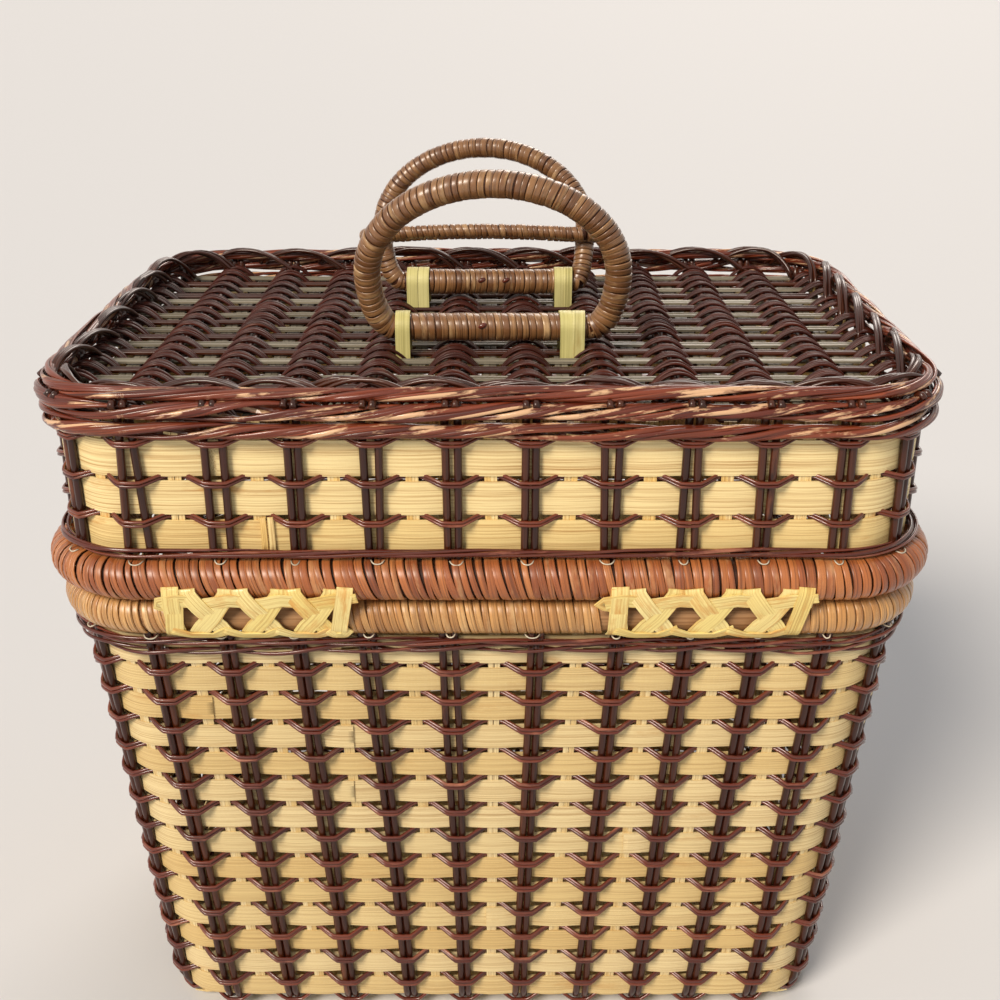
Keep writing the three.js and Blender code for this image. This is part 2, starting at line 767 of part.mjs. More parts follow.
function add(name, geometry, material, parent = basket) {
  const mesh = new THREE.Mesh(geometry, material);
  mesh.name = name;
  parent.add(mesh);
  return mesh;
}

add('base_floor', baseFloorShape(), materials.strip);
add('base_wall', baseWallShape(), materials.strip);
add('base_stakes', baseStakesShape(), materials.stake);
add('base_twining', baseTwiningShape(), materials.weaver);
add('base_hoop_core', hoopCore(baseHoopOffset, baseHoopHeight, baseHoopRadius), materials.core);
add('base_hoop_wrap_front', baseSleeve(betweenLacings), materials.wrap);
add('base_hoop_wrap_round', baseSleeve([...roundRight, ...roundLeft]), materials.wrap);

add('lid_wall', lidWallShape(), materials.strip);
add('lid_stakes', lidStakesShape(), materials.stake);
add('lid_twining', lidTwiningShape(), materials.weaver);
add('lid_hoop_core', hoopCore(lidHoopOffset, lidHoopHeight, lidHoopRadius), materials.core);
add('lid_hoop_wrap_front', lidSleeve(betweenLacings), materials.wrap);
add('lid_hoop_wrap_right', lidSleeve([...roundRight, backStation(loopTieHalf + gap)]), materials.wrap);
add('lid_hoop_wrap_left', lidSleeve([backStation(-loopTieHalf - gap), ...roundLeft]), materials.wrap);
[
  ['lid_border_lower', bandOffset, lowerBandHeight, borderRodHalfDepth, lowerBandHalfHeight],
  ['lid_border_middle', bandOffset, middleBandHeight, borderRodHalfDepth, middleBandHalfHeight],
  ['lid_border_upper', upperBandOffset, upperBandHeight, upperBandHalfDepth, upperBandHalfHeight],
].forEach(([name, ...sizes]) => add(name, borderBand(...sizes), materials.border));
add('lid_panel', lidPanelShape(), materials.panel);
ridgePlaces().forEach((x, i) => {
  const pair = add(`lid_stake_pair_${i + 1}`, topStakePairShape(), materials.stake);
  pair.position.set(x, 0, panelBottom + topStakeRoof - gap - topStakeThickness / 2);
});

add('hinge_lacing_left_upper', upperLacing(leftLacing), materials.lacing);
add('hinge_lacing_left_lower', lowerLacing(leftLacing), materials.lacing);
add('hinge_lacing_right_upper', upperLacing(rightLacing), materials.lacing);
add('hinge_lacing_right_lower', lowerLacing(rightLacing), materials.lacing);

const frontGroup = new THREE.Group();
frontGroup.position.set(frontHandle.x, frontHandle.y, barHeight);
frontGroup.rotation.x = radians(handleLean);
basket.add(frontGroup);
add('front_handle', handleShape(frontHandle), materials.handle, frontGroup);

const rearGroup = new THREE.Group();
rearGroup.position.set(rearHandle.x, rearHandle.y, barHeight);
rearGroup.rotation.x = radians(-handleLean);
basket.add(rearGroup);
add('rear_handle', handleShape(rearHandle), materials.handle, rearGroup);
add('keeper_ring', keeperShape(), materials.handle, rearGroup).position.z = keeperHeight;

ties.forEach(([name, handle, tie]) => add(name, tieShape(handle, tie), materials.tie));

add('closure_tie', loopTieShape(), materials.tie);
add('closure_loop', loopShape(), materials.handle).position.set(0, loopY, lidHoopHeight);
add('closure_staple', stapleShape(), materials.handle);
add('closure_peg', pegShape(), materials.core).position.set(-pegLead, stapleY, stapleHeight);

export default basket;
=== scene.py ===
"""Picnic basket: woven bamboo strip and dark cane, wound hoops and handles, laced hinges.

Lengths in the making functions are millimetres, and mesh_piece turns them to metres.
"""
import math

import bpy
import numpy as np
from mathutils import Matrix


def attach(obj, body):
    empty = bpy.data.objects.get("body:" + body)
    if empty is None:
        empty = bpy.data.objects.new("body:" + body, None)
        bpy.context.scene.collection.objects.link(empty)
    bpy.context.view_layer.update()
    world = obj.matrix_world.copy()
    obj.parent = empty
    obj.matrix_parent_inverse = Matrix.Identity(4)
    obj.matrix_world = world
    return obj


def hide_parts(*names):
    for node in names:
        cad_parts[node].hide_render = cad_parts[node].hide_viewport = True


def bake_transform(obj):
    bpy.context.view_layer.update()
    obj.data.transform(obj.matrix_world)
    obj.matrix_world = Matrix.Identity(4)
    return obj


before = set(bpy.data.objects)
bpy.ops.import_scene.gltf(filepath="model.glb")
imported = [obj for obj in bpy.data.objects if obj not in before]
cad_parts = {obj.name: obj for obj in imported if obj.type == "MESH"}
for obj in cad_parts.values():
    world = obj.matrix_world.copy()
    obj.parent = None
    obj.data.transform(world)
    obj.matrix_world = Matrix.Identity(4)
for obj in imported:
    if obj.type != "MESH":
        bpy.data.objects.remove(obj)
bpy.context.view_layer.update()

# Pairs of stakes round the basket, and how far apart they stand
PAIRS, PAIR = 36, 34.0
FRONT_SPAN = 9 * PAIR
# The body's plan and heights, as the CAD part has them
CORNER_X, CORNER_Y, CORNER_RADIUS = 153.0, 90.5, 40.0
SIDE_Y = CORNER_Y + CORNER_RADIUS
PARTING = 258.0
TAPER, TAPER_START = 17.8, 244.0
FOOT_HEIGHT, FOOT_RADIUS = 17.6, 13.0
LID_HOOP = {"offset": 1.0, "height": 267.95, "radius": 9.8}
BASE_HOOP = {"offset": -2.5, "height": 248.65, "radius": 9.2}
BAR_HEIGHT, BAR_RADIUS, LEAN = 355.1, 6.8, math.radians(15)
FRONT_HANDLE = {"x": 1.5, "y": -35.4, "tube": 6.4, "half": 59.0, "waist": 28.2, "rise": 45.5,
                "left": 47.0, "right": 47.0}
REAR_HANDLE = {"x": -4.0, "y": 55.7, "tube": 5.2, "half": 55.0, "waist": 28.2, "rise": 43.0,
               "left": 44.0, "right": 50.0}
KEEPER_HEIGHT, KEEPER_ROD, KEEPER_CLEARANCE = 24.7, 3.6, 0.5

UP = np.array([0.0, 0.0, 1.0])
# The two stakes of each pair: which pair, and which side of its middle
PAIR_OF = np.repeat(np.arange(PAIRS), 2)[:, None]
SIDE_OF = np.tile([-1.0, 1.0], PAIRS)[:, None]
rng = np.random.default_rng(11)


def xyz(x, y, z):
    """Points or directions from their three parts, each spread over the shape of all."""
    return np.stack(np.broadcast_arrays(x, y, z), -1)


def unit(v):
    """Directions of length one."""
    return v / np.maximum(np.linalg.norm(v, axis=-1, keepdims=True), 1e-9)


# Plan of the basket

PLAN_KNOTS = [0, 9, 11, 16, 18, 27, 29, 34, 36]
PLAN_X = np.array([-1, 1, 1, 1, 1, -1, -1, -1, -1]) * CORNER_X
PLAN_Y = np.array([-1, -1, -1, 1, 1, 1, 1, -1, -1]) * CORNER_Y
PLAN_TURN = np.radians([-90, -90, 0, 0, 90, 90, 180, 180, 270])


def plan(t):
    """Middle point and outward direction at place t, in pairs counterclockwise from the front's left one."""
    t = np.mod(t, PAIRS)
    turn = np.interp(t, PLAN_KNOTS, PLAN_TURN)
    return np.interp(t, PLAN_KNOTS, PLAN_X), np.interp(t, PLAN_KNOTS, PLAN_Y), np.cos(turn), np.sin(turn)


def outward_at(t):
    """The level direction out of the plan at place t."""
    _, _, nx, ny = plan(t)
    return xyz(nx, ny, 0)


def inset(z):
    """How far the base has drawn in at height z: it grows evenly from below the hoop to the floor."""
    return TAPER * np.maximum(0, TAPER_START - z) / TAPER_START


def place(t, offset, z):
    """Point at place t, offset outwards from the stake line, height z."""
    mx, my, nx, ny = plan(t)
    x = mx * (1 - inset(z) / CORNER_X) + (CORNER_RADIUS + offset) * nx
    y = my * (1 - inset(z) / CORNER_Y) + (CORNER_RADIUS + offset) * ny
    return xyz(x, y, z)


# How far each pair on the front stands from even spacing, in millimetres: base's top, base's bottom and lid
SHIFT_TOP = np.array([1.3, -0.3, -1.1, -4.5, -1.2, 4.0, 7.0, 4.8, 2.2, -1.3])
SHIFT_FOOT = np.array([-1.3, 0.7, 1.4, 3.6, 1.4, 0.1, 2.6, 0.9, -0.8, 1.2])
SHIFT_LID = np.array([-0.6, 2.7, 2.2, 0.8, 1.2, 0.7, 1.5, 1.4, 0.0, -0.9])
OTHER_SHIFT = rng.uniform(-1.6, 1.6, PAIRS - 10)


def shifted(u, z):
    """Place of weave position u at height z: whole u is a pair, and shifts spread evenly between pairs."""
    share = np.clip(z / TAPER_START, 0, 1)
    whole = np.mod(u, PAIRS)
    rings = (np.concatenate([front, OTHER_SHIFT, front[:1]]) for front in (SHIFT_TOP, SHIFT_FOOT, SHIFT_LID))
    top, foot, lid = (np.interp(whole, np.arange(PAIRS + 1), ring / PAIR) for ring in rings)
    return u + np.where(z > PARTING, lid, (1 - share) * foot + share * top)


def wall(u, offset, h):
    """Point and outward direction on the wall. Below the foot height, h runs on round a quarter circle."""
    turn = np.clip((FOOT_HEIGHT - h) / FOOT_RADIUS, 0, math.pi / 2)
    out = (FOOT_RADIUS + offset) * np.cos(turn) - FOOT_RADIUS
    z = np.maximum(h, FOOT_HEIGHT) - (FOOT_RADIUS + offset) * np.sin(turn)
    t = shifted(u, z)
    _, _, nx, ny = plan(t)
    return place(t, out, z), xyz(nx * np.cos(turn), ny * np.cos(turn), -np.sin(turn))


# Strands

def circle(sides):
    """A round section: [across, out] at even angles from the inner side, all of it smooth."""
    turn = (np.arange(sides) + 0.5) / sides * 2 * math.pi - math.pi / 2
    return np.stack([np.cos(turn), np.sin(turn)], -1), np.zeros(sides, bool)


# Sections as [across, out] points, and where the side from each point to the next is flat instead of smooth.
# A flat strip: a slightly crowned face, a flat back and hard edges
STRIP = (np.array([[0, -1], [1, -1], [1, 0.8], [0.55, 1.0], [-0.55, 1.0], [-1, 0.8], [-1, -1]]),
         np.array([0, 1, 1, 0, 1, 1, 0], bool))
# A wound peel: a flat crown with round edges
PEEL = (np.array([[0, -1], [1, -1], [1, 0.35], [0.86, 0.85], [0.6, 1],
                  [-0.6, 1], [-0.86, 0.85], [-1, 0.35], [-1, -1]]), np.zeros(9, bool))
# A split: half of a cane, with its round skin outside
SPLIT = (np.array([[0.75, -0.7], [1, 0], [0.75, 0.65], [0.25, 0.95],
                   [-0.25, 0.95], [-0.75, 0.65], [-1, 0], [-0.75, -0.7]]),
         np.array([0, 0, 0, 0, 0, 0, 0, 1], bool))


def strands(points, outward, half_width, half_thick, section, closed=False, roll=0.0, start=0):
    """Sweeps one section along many paths at once, as a grid of path step by section point.

    Each point is the path's point, plus half_width across it, plus half_thick out from it. Roll tips the
    section, in radians. The fibre attribute holds the distance along and round, in millimetres, and a random
    number for each strand. Start is the step from which a closed strand's distance along is measured.
    """
    shape, hard = section
    count, steps = points.shape[:2]
    sides = len(shape)
    along = unit(np.roll(points, -1, 1) - np.roll(points, 1, 1) if closed else np.gradient(points, axis=1))
    side = unit(np.cross(outward, along))
    out = np.cross(along, side)
    tip = np.reshape(roll, (-1, 1, 1))
    side, out = side * np.cos(tip) + out * np.sin(tip), out * np.cos(tip) - side * np.sin(tip)
    wide = np.broadcast_to(half_width, (count, steps))[..., None]
    thick = np.broadcast_to(half_thick, (count, steps))[..., None]
    across, outer = (wide * shape[:, 0])[..., None], (thick * shape[:, 1])[..., None]
    verts = points[:, :, None] + side[:, :, None] * across + out[:, :, None] * outer
    step = np.linalg.norm(np.diff(points, axis=1), axis=-1)
    walked = np.concatenate([np.zeros((count, 1)), np.cumsum(step, 1)], 1)
    if closed:
        whole = walked[:, -1:] + np.linalg.norm(points[:, 0] - points[:, -1], axis=-1, keepdims=True)
        walked = np.mod(walked - walked[np.arange(count), start][:, None], whole)
    edge = np.linalg.norm(np.diff(shape, axis=0) * [wide.mean(), thick.mean()], axis=1)
    fibre = np.zeros(verts.shape)
    fibre[..., 0] = walked[..., None]
    fibre[..., 1] = np.concatenate([[0], np.cumsum(edge)])
    fibre[..., 2] = rng.uniform(0, 1000, (count, 1, 1))
    index = np.arange(count * steps * sides).reshape(count, steps, sides)
    a, b = (index, np.roll(index, -1, 1)) if closed else (index[:, :-1], index[:, 1:])
    quads = np.stack([a, np.roll(a, -1, 2), np.roll(b, -1, 2), b], -1)
    smooth = np.broadcast_to(~hard, quads.shape[:3]).reshape(-1)
    caps = np.zeros((0, sides), int) if closed else np.concatenate([index[:, 0, ::-1], index[:, -1]])
    return {"verts": verts.reshape(-1, 3), "fibre": fibre.reshape(-1, 3), "quads": quads.reshape(-1, 4),
            "smooth": smooth, "caps": caps}


def mesh_piece(name, parts, material, body=None, slot=None, *stands_for):
    """One mesh from several strand sets, in metres: ends are flat, sides as smooth as the section says."""
    verts, fibres = (np.concatenate([part[key] for part in parts]) for key in ("verts", "fibre"))
    start, loops, totals, smooth = 0, [], [], []
    for part in parts:
        for faces, is_smooth in ((part["quads"], part["smooth"]), (part["caps"], False)):
            loops.append((faces + start).ravel())
            totals.append(np.full(len(faces), faces.shape[1]))
            smooth.append(np.broadcast_to(is_smooth, len(faces)))
        start += len(part["verts"])
    loops, totals, smooth = np.concatenate(loops), np.concatenate(totals), np.concatenate(smooth)
    mesh = bpy.data.meshes.new(name)
    mesh.vertices.add(len(verts))
    mesh.vertices.foreach_set("co", (verts * 0.001).astype(np.float32).ravel())
    mesh.loops.add(len(loops))
    mesh.loops.foreach_set("vertex_index", loops.astype(np.int32))
    mesh.polygons.add(len(totals))
    mesh.polygons.foreach_set("loop_start", np.concatenate([[0], np.cumsum(totals)[:-1]]).astype(np.int32))
    mesh.polygons.foreach_set("use_smooth", smooth)
    mesh.update(calc_edges=True)
    mesh.validate()
    attribute = mesh.attributes.new("fibre", "FLOAT_VECTOR", "POINT")
    attribute.data.foreach_set("vector", fibres.astype(np.float32).ravel())
    mesh.materials.append(material)
    obj = bpy.data.objects.new(name, mesh)
    bpy.context.scene.collection.objects.link(obj)
    if body:
        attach(obj, body)
    if stands_for:
        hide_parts(*stands_for)
    return obj


def around(steps):
    """Weave positions of one closed turn round the basket from the back's middle, at so many steps a pair."""
    return 22.5 + np.arange(PAIRS * steps) / steps


def from_pair(u):
    """How far weave position u is from the nearest pair: 0 at a pair, 0.5 halfway between two."""
    return np.abs(u - np.round(u))


def drift(u, rows, size):
    """Slow random waves round the basket, one for each row: a few whole numbers of waves a turn."""
    waves = np.array([3, 5, 8, 13, 21])
    phase = rng.uniform(0, 2 * math.pi, (rows, len(waves), 1))
    return size * (np.sin(2 * math.pi * waves[:, None] * u / PAIRS + phase) / np.sqrt(waves)[:, None]).sum(1)


# Materials

def linear(colour):
    """An sRGB hex colour as linear red, green, blue and one."""
    parts = [int(colour[i:i + 2], 16) / 255 for i in (1, 3, 5)]
    return [p / 12.92 if p <= 0.04045 else ((p + 0.055) / 1.055) ** 2.4 for p in parts] + [1.0]


def add(tree, kind, settings=None, **inputs):
    """Adds a shader node and gives its outputs.

    Settings are its own values, and inputs are values or sockets by name, with _ for a space.
    """
    made = tree.nodes.new("ShaderNode" + kind)
    for key, value in (settings or {}).items():
        setattr(made, key, value)
    for key, value in inputs.items():
        key = key.replace("_", " ")
        socket = made.inputs[int(key[2:])] if key.startswith("in") and key[2:].isdigit() else made.inputs[key]
        if isinstance(value, bpy.types.NodeSocket):
            tree.links.new(value, socket)
        else:
            socket.default_value = linear(value) if isinstance(value, str) else value
    return made.outputs


def ramp(tree, factor, colours):
    """A colour ramp with hex colours at even places."""
    made = tree.nodes.new("ShaderNodeValToRGB")
    tree.links.new(factor, made.inputs["Fac"])
    marks = made.color_ramp.elements
    while len(marks) < len(colours):
        marks.new(0.5)
    for i, colour in enumerate(colours):
        marks[i].position = i / (len(colours) - 1)
        marks[i].color = linear(colour)
    return made.outputs["Color"]


def fibre_material(name, tones, streak, wear_and_sheen, grain, patch, roughness, bump, coat=0.0,
                   wear_and_sheen_range=(0.62, 0.75), streak_range=(0.45, 0.75), satin=0.14, specular=0.3):
    """Plant fibre that runs along each strand.

    Each strand has its own tone. Fine streaks follow the strand: grain is how many lie side by side in a
    millimetre. Slow patches, patch of them in a millimetre, lay the second colour over it: wear on most
    canes, and on the handle peel partly a painted highlight.
    """
    material = bpy.data.materials.new(name)
    material.use_nodes = True
    tree = material.node_tree
    tree.nodes.clear()
    fibre = add(tree, "Attribute", {"attribute_name": "fibre"})["Vector"]
    strand = add(tree, "SeparateXYZ", Vector=fibre)["Z"]
    chance = add(tree, "TexWhiteNoise", {"noise_dimensions": "1D"}, W=strand)["Value"]
    tone = ramp(tree, chance, tones)
    stretched = add(tree, "Mapping", Vector=fibre, Scale=(0.009, grain, 1.0))["Vector"]
    lines = add(tree, "TexNoise", Vector=stretched, Scale=1.0, Detail=4.0, Roughness=0.65)["Fac"]
    low, high = streak_range
    streaked = add(tree, "MapRange", Value=lines, From_Min=low, From_Max=high)["Result"]
    shade = add(tree, "Mix", {"data_type": "RGBA"}, in0=streaked, in6=tone, in7=streak)[2]
    broad = add(tree, "Mapping", Vector=fibre, Scale=(patch, patch * 4, 1.0))["Vector"]
    blots = add(tree, "TexNoise", Vector=broad, Scale=1.0, Detail=6.0, Roughness=0.68)["Fac"]
    low, high = wear_and_sheen_range
    wear_and_sheen_mask = add(tree, "MapRange", Value=blots, From_Min=low, From_Max=high)["Result"]
    final = add(tree, "Mix", {"data_type": "RGBA"}, in0=wear_and_sheen_mask, in6=shade, in7=wear_and_sheen)[2]
    rough = add(tree, "MapRange", Value=lines, To_Min=roughness - 0.08, To_Max=roughness + 0.12)["Result"]
    relief = add(tree, "Bump", Height=lines, Strength=bump, Distance=0.0004)["Normal"]
    shader = add(tree, "BsdfPrincipled", Base_Color=final, Roughness=rough, Normal=relief, Coat_Weight=coat,
                 Coat_Roughness=satin, Specular_IOR_Level=specular)
    add(tree, "OutputMaterial", Surface=shader["BSDF"])
    return material


# Split bamboo: cream and gold culm strip with long fine grain, satin
bamboo = fibre_material(
    "split_bamboo", ["#efd694", "#f6e2aa", "#ecce86", "#e6c074"], "#a66f2c", "#c98f45",
    1.3, 0.012, 0.46, 0.4, streak_range=(0.45, 0.76))
# The base's thinner strip: the same, with closer grain and more gold
base_bamboo = fibre_material(
    "split_bamboo_base", ["#e2cd98", "#ebd8a8", "#dfc68c", "#d6b576"], "#a88250", "#c29355",
    2.0, 0.016, 0.44, 0.35, wear_and_sheen_range=(0.6, 0.8), streak_range=(0.45, 0.76))
# Round cane stained dark and varnished: smooth glossy skin with faint streaks
stake_cane = fibre_material(
    "varnished_dark_cane", ["#32130a", "#411a0d", "#512610"], "#1e0a04", "#80482c",
    0.9, 0.01, 0.28, 0.15, 0.4, satin=0.1)
# Split cane stained red brown: paler scuffs on the high skin
weaver_cane = fibre_material(
    "stained_split_cane", ["#4e1b0f", "#652615", "#7a3820"], "#2c0f08", "#b8765a",
    1.2, 0.016, 0.28, 0.25, 0.6, (0.57, 0.72), satin=0.1)
# The same cane on the lid's edge, worn through to bare fibre in long patches
border_cane = fibre_material(
    "worn_border_cane", ["#561d10", "#6c2a17", "#7f371e", "#8f4426", "#5f2415"], "#2c0f08", "#dcb28a",
    1.1, 0.018, 0.3, 0.4, 0.5, (0.545, 0.59), satin=0.12)
# The lid's top weave: the same cane, its tones darkened as painted shade for the dim, grazing light on the
# top
top_cane = fibre_material(
    "dusty_split_cane", ["#34120b", "#451a10", "#5a2617"], "#150704", "#7c4a34",
    1.2, 0.014, 0.36, 0.25, 0.1, satin=0.2, specular=0.2)
# Flat bare sticks on the lid's top, greyed by handling
grey_stick = fibre_material(
    "weathered_flat_cane", ["#8a8271", "#9a9382", "#736b5b", "#a59d8a"], "#4a4234", "#6a6050",
    0.9, 0.01, 0.4, 0.3, 0.1)
# Flat rattan peel wound on the lid's hoop: red brown satin skin, varnish pooled in its streaks
lid_wrap_cane = fibre_material(
    "brown_rattan_peel", ["#8e4a24", "#a85e2e", "#bb713b", "#9a522b", "#c67f46"], "#4a200d", "#d0a070",
    1.3, 0.03, 0.42, 0.4, 0.8, (0.56, 0.76), satin=0.33)
# Peel wound on the base's hoop: tan, with pale rubbed skin
base_wrap_cane = fibre_material(
    "tan_rattan_peel", ["#b07a44", "#c89254", "#d6a668", "#9e6a39"], "#5c3514", "#e4c08a",
    1.3, 0.03, 0.36, 0.4, 0.8, (0.56, 0.76), satin=0.33)
# Peel wound on handles, ring and loop: darker and glossier where hands have polished it; its pale patches are
# partly wear and partly a painted golden highlight
handle_cane = fibre_material(
    "varnished_handle_peel", ["#6c4424", "#865b35", "#9c7147", "#784e2d", "#a67b4e"], "#3a200e", "#d4ae7c",
    1.4, 0.035, 0.38, 0.4, 1.0, (0.55, 0.75), satin=0.28)
# Fresh flat cane of the lacings: straw yellow with orange blush
lacing_cane = fibre_material(
    "yellow_flat_cane", ["#f0da88", "#f7e6a2", "#ead076"], "#bb9148", "#d79a4a",
    1.1, 0.045, 0.38, 0.4, 0.15, (0.5, 0.72))
# Flat cane of the handle ties: green as well as yellow
tie_cane = fibre_material(
    "green_yellow_flat_cane", ["#dcd48c", "#e6de9e", "#d2c87c"], "#9a9252", "#c0ae6c",
    1.1, 0.02, 0.4, 0.35, 0.1)
# Bare core wood of the base hoop and the peg: dry and matt
bare_wood = fibre_material(
    "bare_split_wood", ["#b98f66", "#aa8057"], "#7a532f", "#8d6540",
    0.8, 0.01, 0.6, 0.4)
# Thin bright wire of the stitches: small pale glints
stitch_wire = fibre_material(
    "bright_stitch_wire", ["#cfc6b0", "#dcd4c0"], "#a09880", "#b8b09a",
    0.5, 0.01, 0.3, 0.05, 0.3)
# Core wood under the wraps, dark as painted shade: the dark lines between turns
hoop_shadow = fibre_material(
    "oiled_core_wood", ["#3c2012", "#472616"], "#241008", "#5b3820",
    0.8, 0.01, 0.5, 0.3)


# Base weave

ROW_PITCH = 16.35
# How far the base's rows have wandered up at the back: the photograph's eye meets no gap behind a gap
BACK_RISE = 2.45
base_rows = 213.6 - ROW_PITCH * np.arange(14)


def back_rise(u):
    """How much higher the base's rows lie at u than at the front's middle: most at the back's middle."""
    return BACK_RISE * (0.5 - 0.5 * np.cos(2 * math.pi * (u - 4.5) / PAIRS))


def strip_offset(u):
    """How far a wide strip stands off the stake line at u: it bends in a little behind each pair."""
    return np.interp(from_pair(u), [0, 0.12, 0.4, 0.5], [-2.3, -2.25, -1.45, -1.4])


def strip_rows(heights, half_heights, wanders=False):
    """Wide strips: nearly flat, just behind the dark pairs and just in front of the pale uprights."""
    steps = 12
    u = around(steps)
    rows = len(heights)
    rise = back_rise(u) if wanders else 0
    h = np.array(heights)[:, None] + rise + drift(u, rows, 0.22)
    p, n = wall(u[None], strip_offset(u) + drift(u, rows, 0.1), h)
    half = np.array(half_heights)[:, None] + 0.08 * rise + drift(u, rows, 0.1)
    behind_a_pair = steps // 2 + steps * (np.arange(rows) * 7 % PAIRS)
    return strands(p, n, half, 0.42, STRIP, closed=True, start=behind_a_pair)


def weaver_rows(heights, dip, thick, wanders=False):
    """Two thin weavers in each gap: over each dark pair, where they dip, and inside the pale upright."""
    u = around(16)
    near = from_pair(u)
    over = np.interp(near, [0, 0.125, 0.1875, 0.3125, 0.4, 0.5], [2.8, 2.65, 1.6, -1.1, -3.3, -3.5])
    sag = np.interp(near, [0, 0.125, 0.35, 0.5], [-dip, -dip * 0.95, 0.5, 0.6])
    sag = sag + (back_rise(u) if wanders else 0)
    rows = len(heights) * 2
    k = np.tile([-0.5, 0.5], len(heights))[:, None]
    spread = thick * (1.75 + 0.25 * np.cos(2 * math.pi * u))
    h = np.repeat(np.array(heights), 2)[:, None] + sag - k * spread + drift(u, rows, 0.1)
    p, n = wall(u[None], over + drift(u, rows, 0.1), h)
    return strands(p, n, thick, thick, circle(6), closed=True)


def stake_pairs(low, high, wobble, foot=(), top=()):
    """Two round stakes at each pair: they part, touch and part again as they rise.

    Foot and top are the gaps between each front pair's two stakes at its ends, in millimetres.
    """
    h = np.arange(low, high + 3.0, 6.0)
    phase = rng.uniform(0, 2 * math.pi, PAIRS)[PAIR_OF]
    pace = rng.uniform(0.01, 0.028, PAIRS)[PAIR_OF]
    part = np.zeros((2, PAIRS))
    part[0, :len(foot)], part[1, :len(top)] = foot, top
    share = (h - low) / (high - low)
    ends_apart = part[0, PAIR_OF] * (1 - share) + part[1, PAIR_OF] * share
    spread = 1.95 + wobble * np.maximum(0, np.sin(h * pace + phase)) + ends_apart / 2
    lean = wobble * 0.4 * np.sin(h * 0.017 + phase * 1.7)
    p, n = wall(PAIR_OF + (SIDE_OF * spread + lean) / PAIR, 0.1 + 0.2 * SIDE_OF * np.sin(h * 0.02 + phase), h)
    return strands(p, n, 1.85, 1.85, circle(8))


def pale_uprights(low, high, step, width):
    """Flat pale uprights halfway between pairs, each of two splits side by side."""
    h = np.arange(low, high + step / 2, step)
    lean = rng.uniform(-1, 1, (PAIRS, 1)).repeat(2, 0) * (h - h.mean()) / (h[-1] - h[0]) * 2.0
    p, n = wall(PAIR_OF + 0.5 + (SIDE_OF * width * 0.52 + lean) / PAIR, -2.3, h)
    return strands(p, n, width / 2, 0.4, STRIP)


def twined(height, offset, reach_out, reach_up, pitch, sets, splits, radius, gap=0.2, wild=0.07, waver=0.15):
    """A band of twined strands: each rounds an ellipse once in pitch pairs. A set is a bundle of splits."""
    u = around(12)
    total = sets * splits
    group = np.repeat(np.arange(sets), splits)[:, None] / sets * 2 * math.pi
    within = np.tile(np.arange(splits) - (splits - 1) / 2, sets)[:, None] * (1 - gap) * 2 * math.pi / total
    bundle = np.repeat(drift(u, sets, wild * 2), splits, 0)
    turn = 2 * math.pi * u / pitch + group + within + drift(u, total, wild * 0.6) + bundle
    h = height + reach_up * np.sin(turn) + drift(u, total, waver)
    h = h + np.repeat(drift(u, sets, waver * 2), splits, 0)
    out = offset + reach_out * np.cos(turn) + drift(u, total, wild)
    p, n = wall(u[None], out, h)
    ray = n * np.cos(turn)[..., None] + UP * np.sin(turn)[..., None] * 0.6
    half = radius * rng.uniform(0.75, 1.25, (total, 1))
    spread_starts = np.arange(total) * 163 % len(u)
    return strands(p, unit(ray + n * 0.5), half, half * 0.75, SPLIT, closed=True, start=spread_starts)


# Where a base strip ran out: its row, the weave position of the cut, and the side it comes from
STRIP_CUTS = ((2, 2.6, -1), (4, 2.5, -1), (6, 6.45, 1), (1, 0.62, -1), (9, 4.4, 1),
              (7, 20.6, 1), (3, 23.4, -1))


def strip_ends():
    """Cut ends of strips: each lies over the next strip and goes in behind a pair."""
    parts = []
    for row, cut, side in STRIP_CUTS:
        u = np.linspace(cut, round(cut + side * 0.45), 7)[None]
        lift = 0.84 * np.clip(from_pair(u) / 0.2 - 0.4, 0, 1)
        p, n = wall(u, strip_offset(u) + lift, base_rows[row] + back_rise(u) + 0.3)
        parts.append(strands(p, n, 5.9, 0.38, STRIP))
    return parts


mesh_piece("base_strips", [
    strip_rows(base_rows, np.full(len(base_rows), 6.15), wanders=True),
    strip_rows([226.0, 234.4], [3.3, 3.2]),
    *strip_ends(),
], base_bamboo, "base", "bamboo_strip", "base_wall")
mesh_piece("base_uprights", [pale_uprights(-2.0, 240.0, 9.0, 2.5)], base_bamboo, "base", "bamboo_strip")
mesh_piece("base_stake_pairs", [stake_pairs(-2.0, 244.0, 0.9)],
           stake_cane, "base", "dark_stake", "base_stakes")
mesh_piece("base_weavers", [weaver_rows(base_rows + ROW_PITCH / 2, 2.5, 0.93, wanders=True)],
           weaver_cane, "base", "dark_weaver")
mesh_piece("base_hoop_twining", [
    twined(236.6, 2.6, 1.8, 1.2, 3, 3, 1, 0.95, wild=0.16, waver=0.3),
    twined(232.2, 1.9, 1.8, 1.2, 2, 2, 1, 0.9, wild=0.16, waver=0.45),
], weaver_cane, "base", "dark_weaver", "base_twining")


# Floor of the base

FLOOR_X, FLOOR_Y, FLOOR_CORNER, FLOOR_PITCH = 166.0, 103.5, 18, 9.0


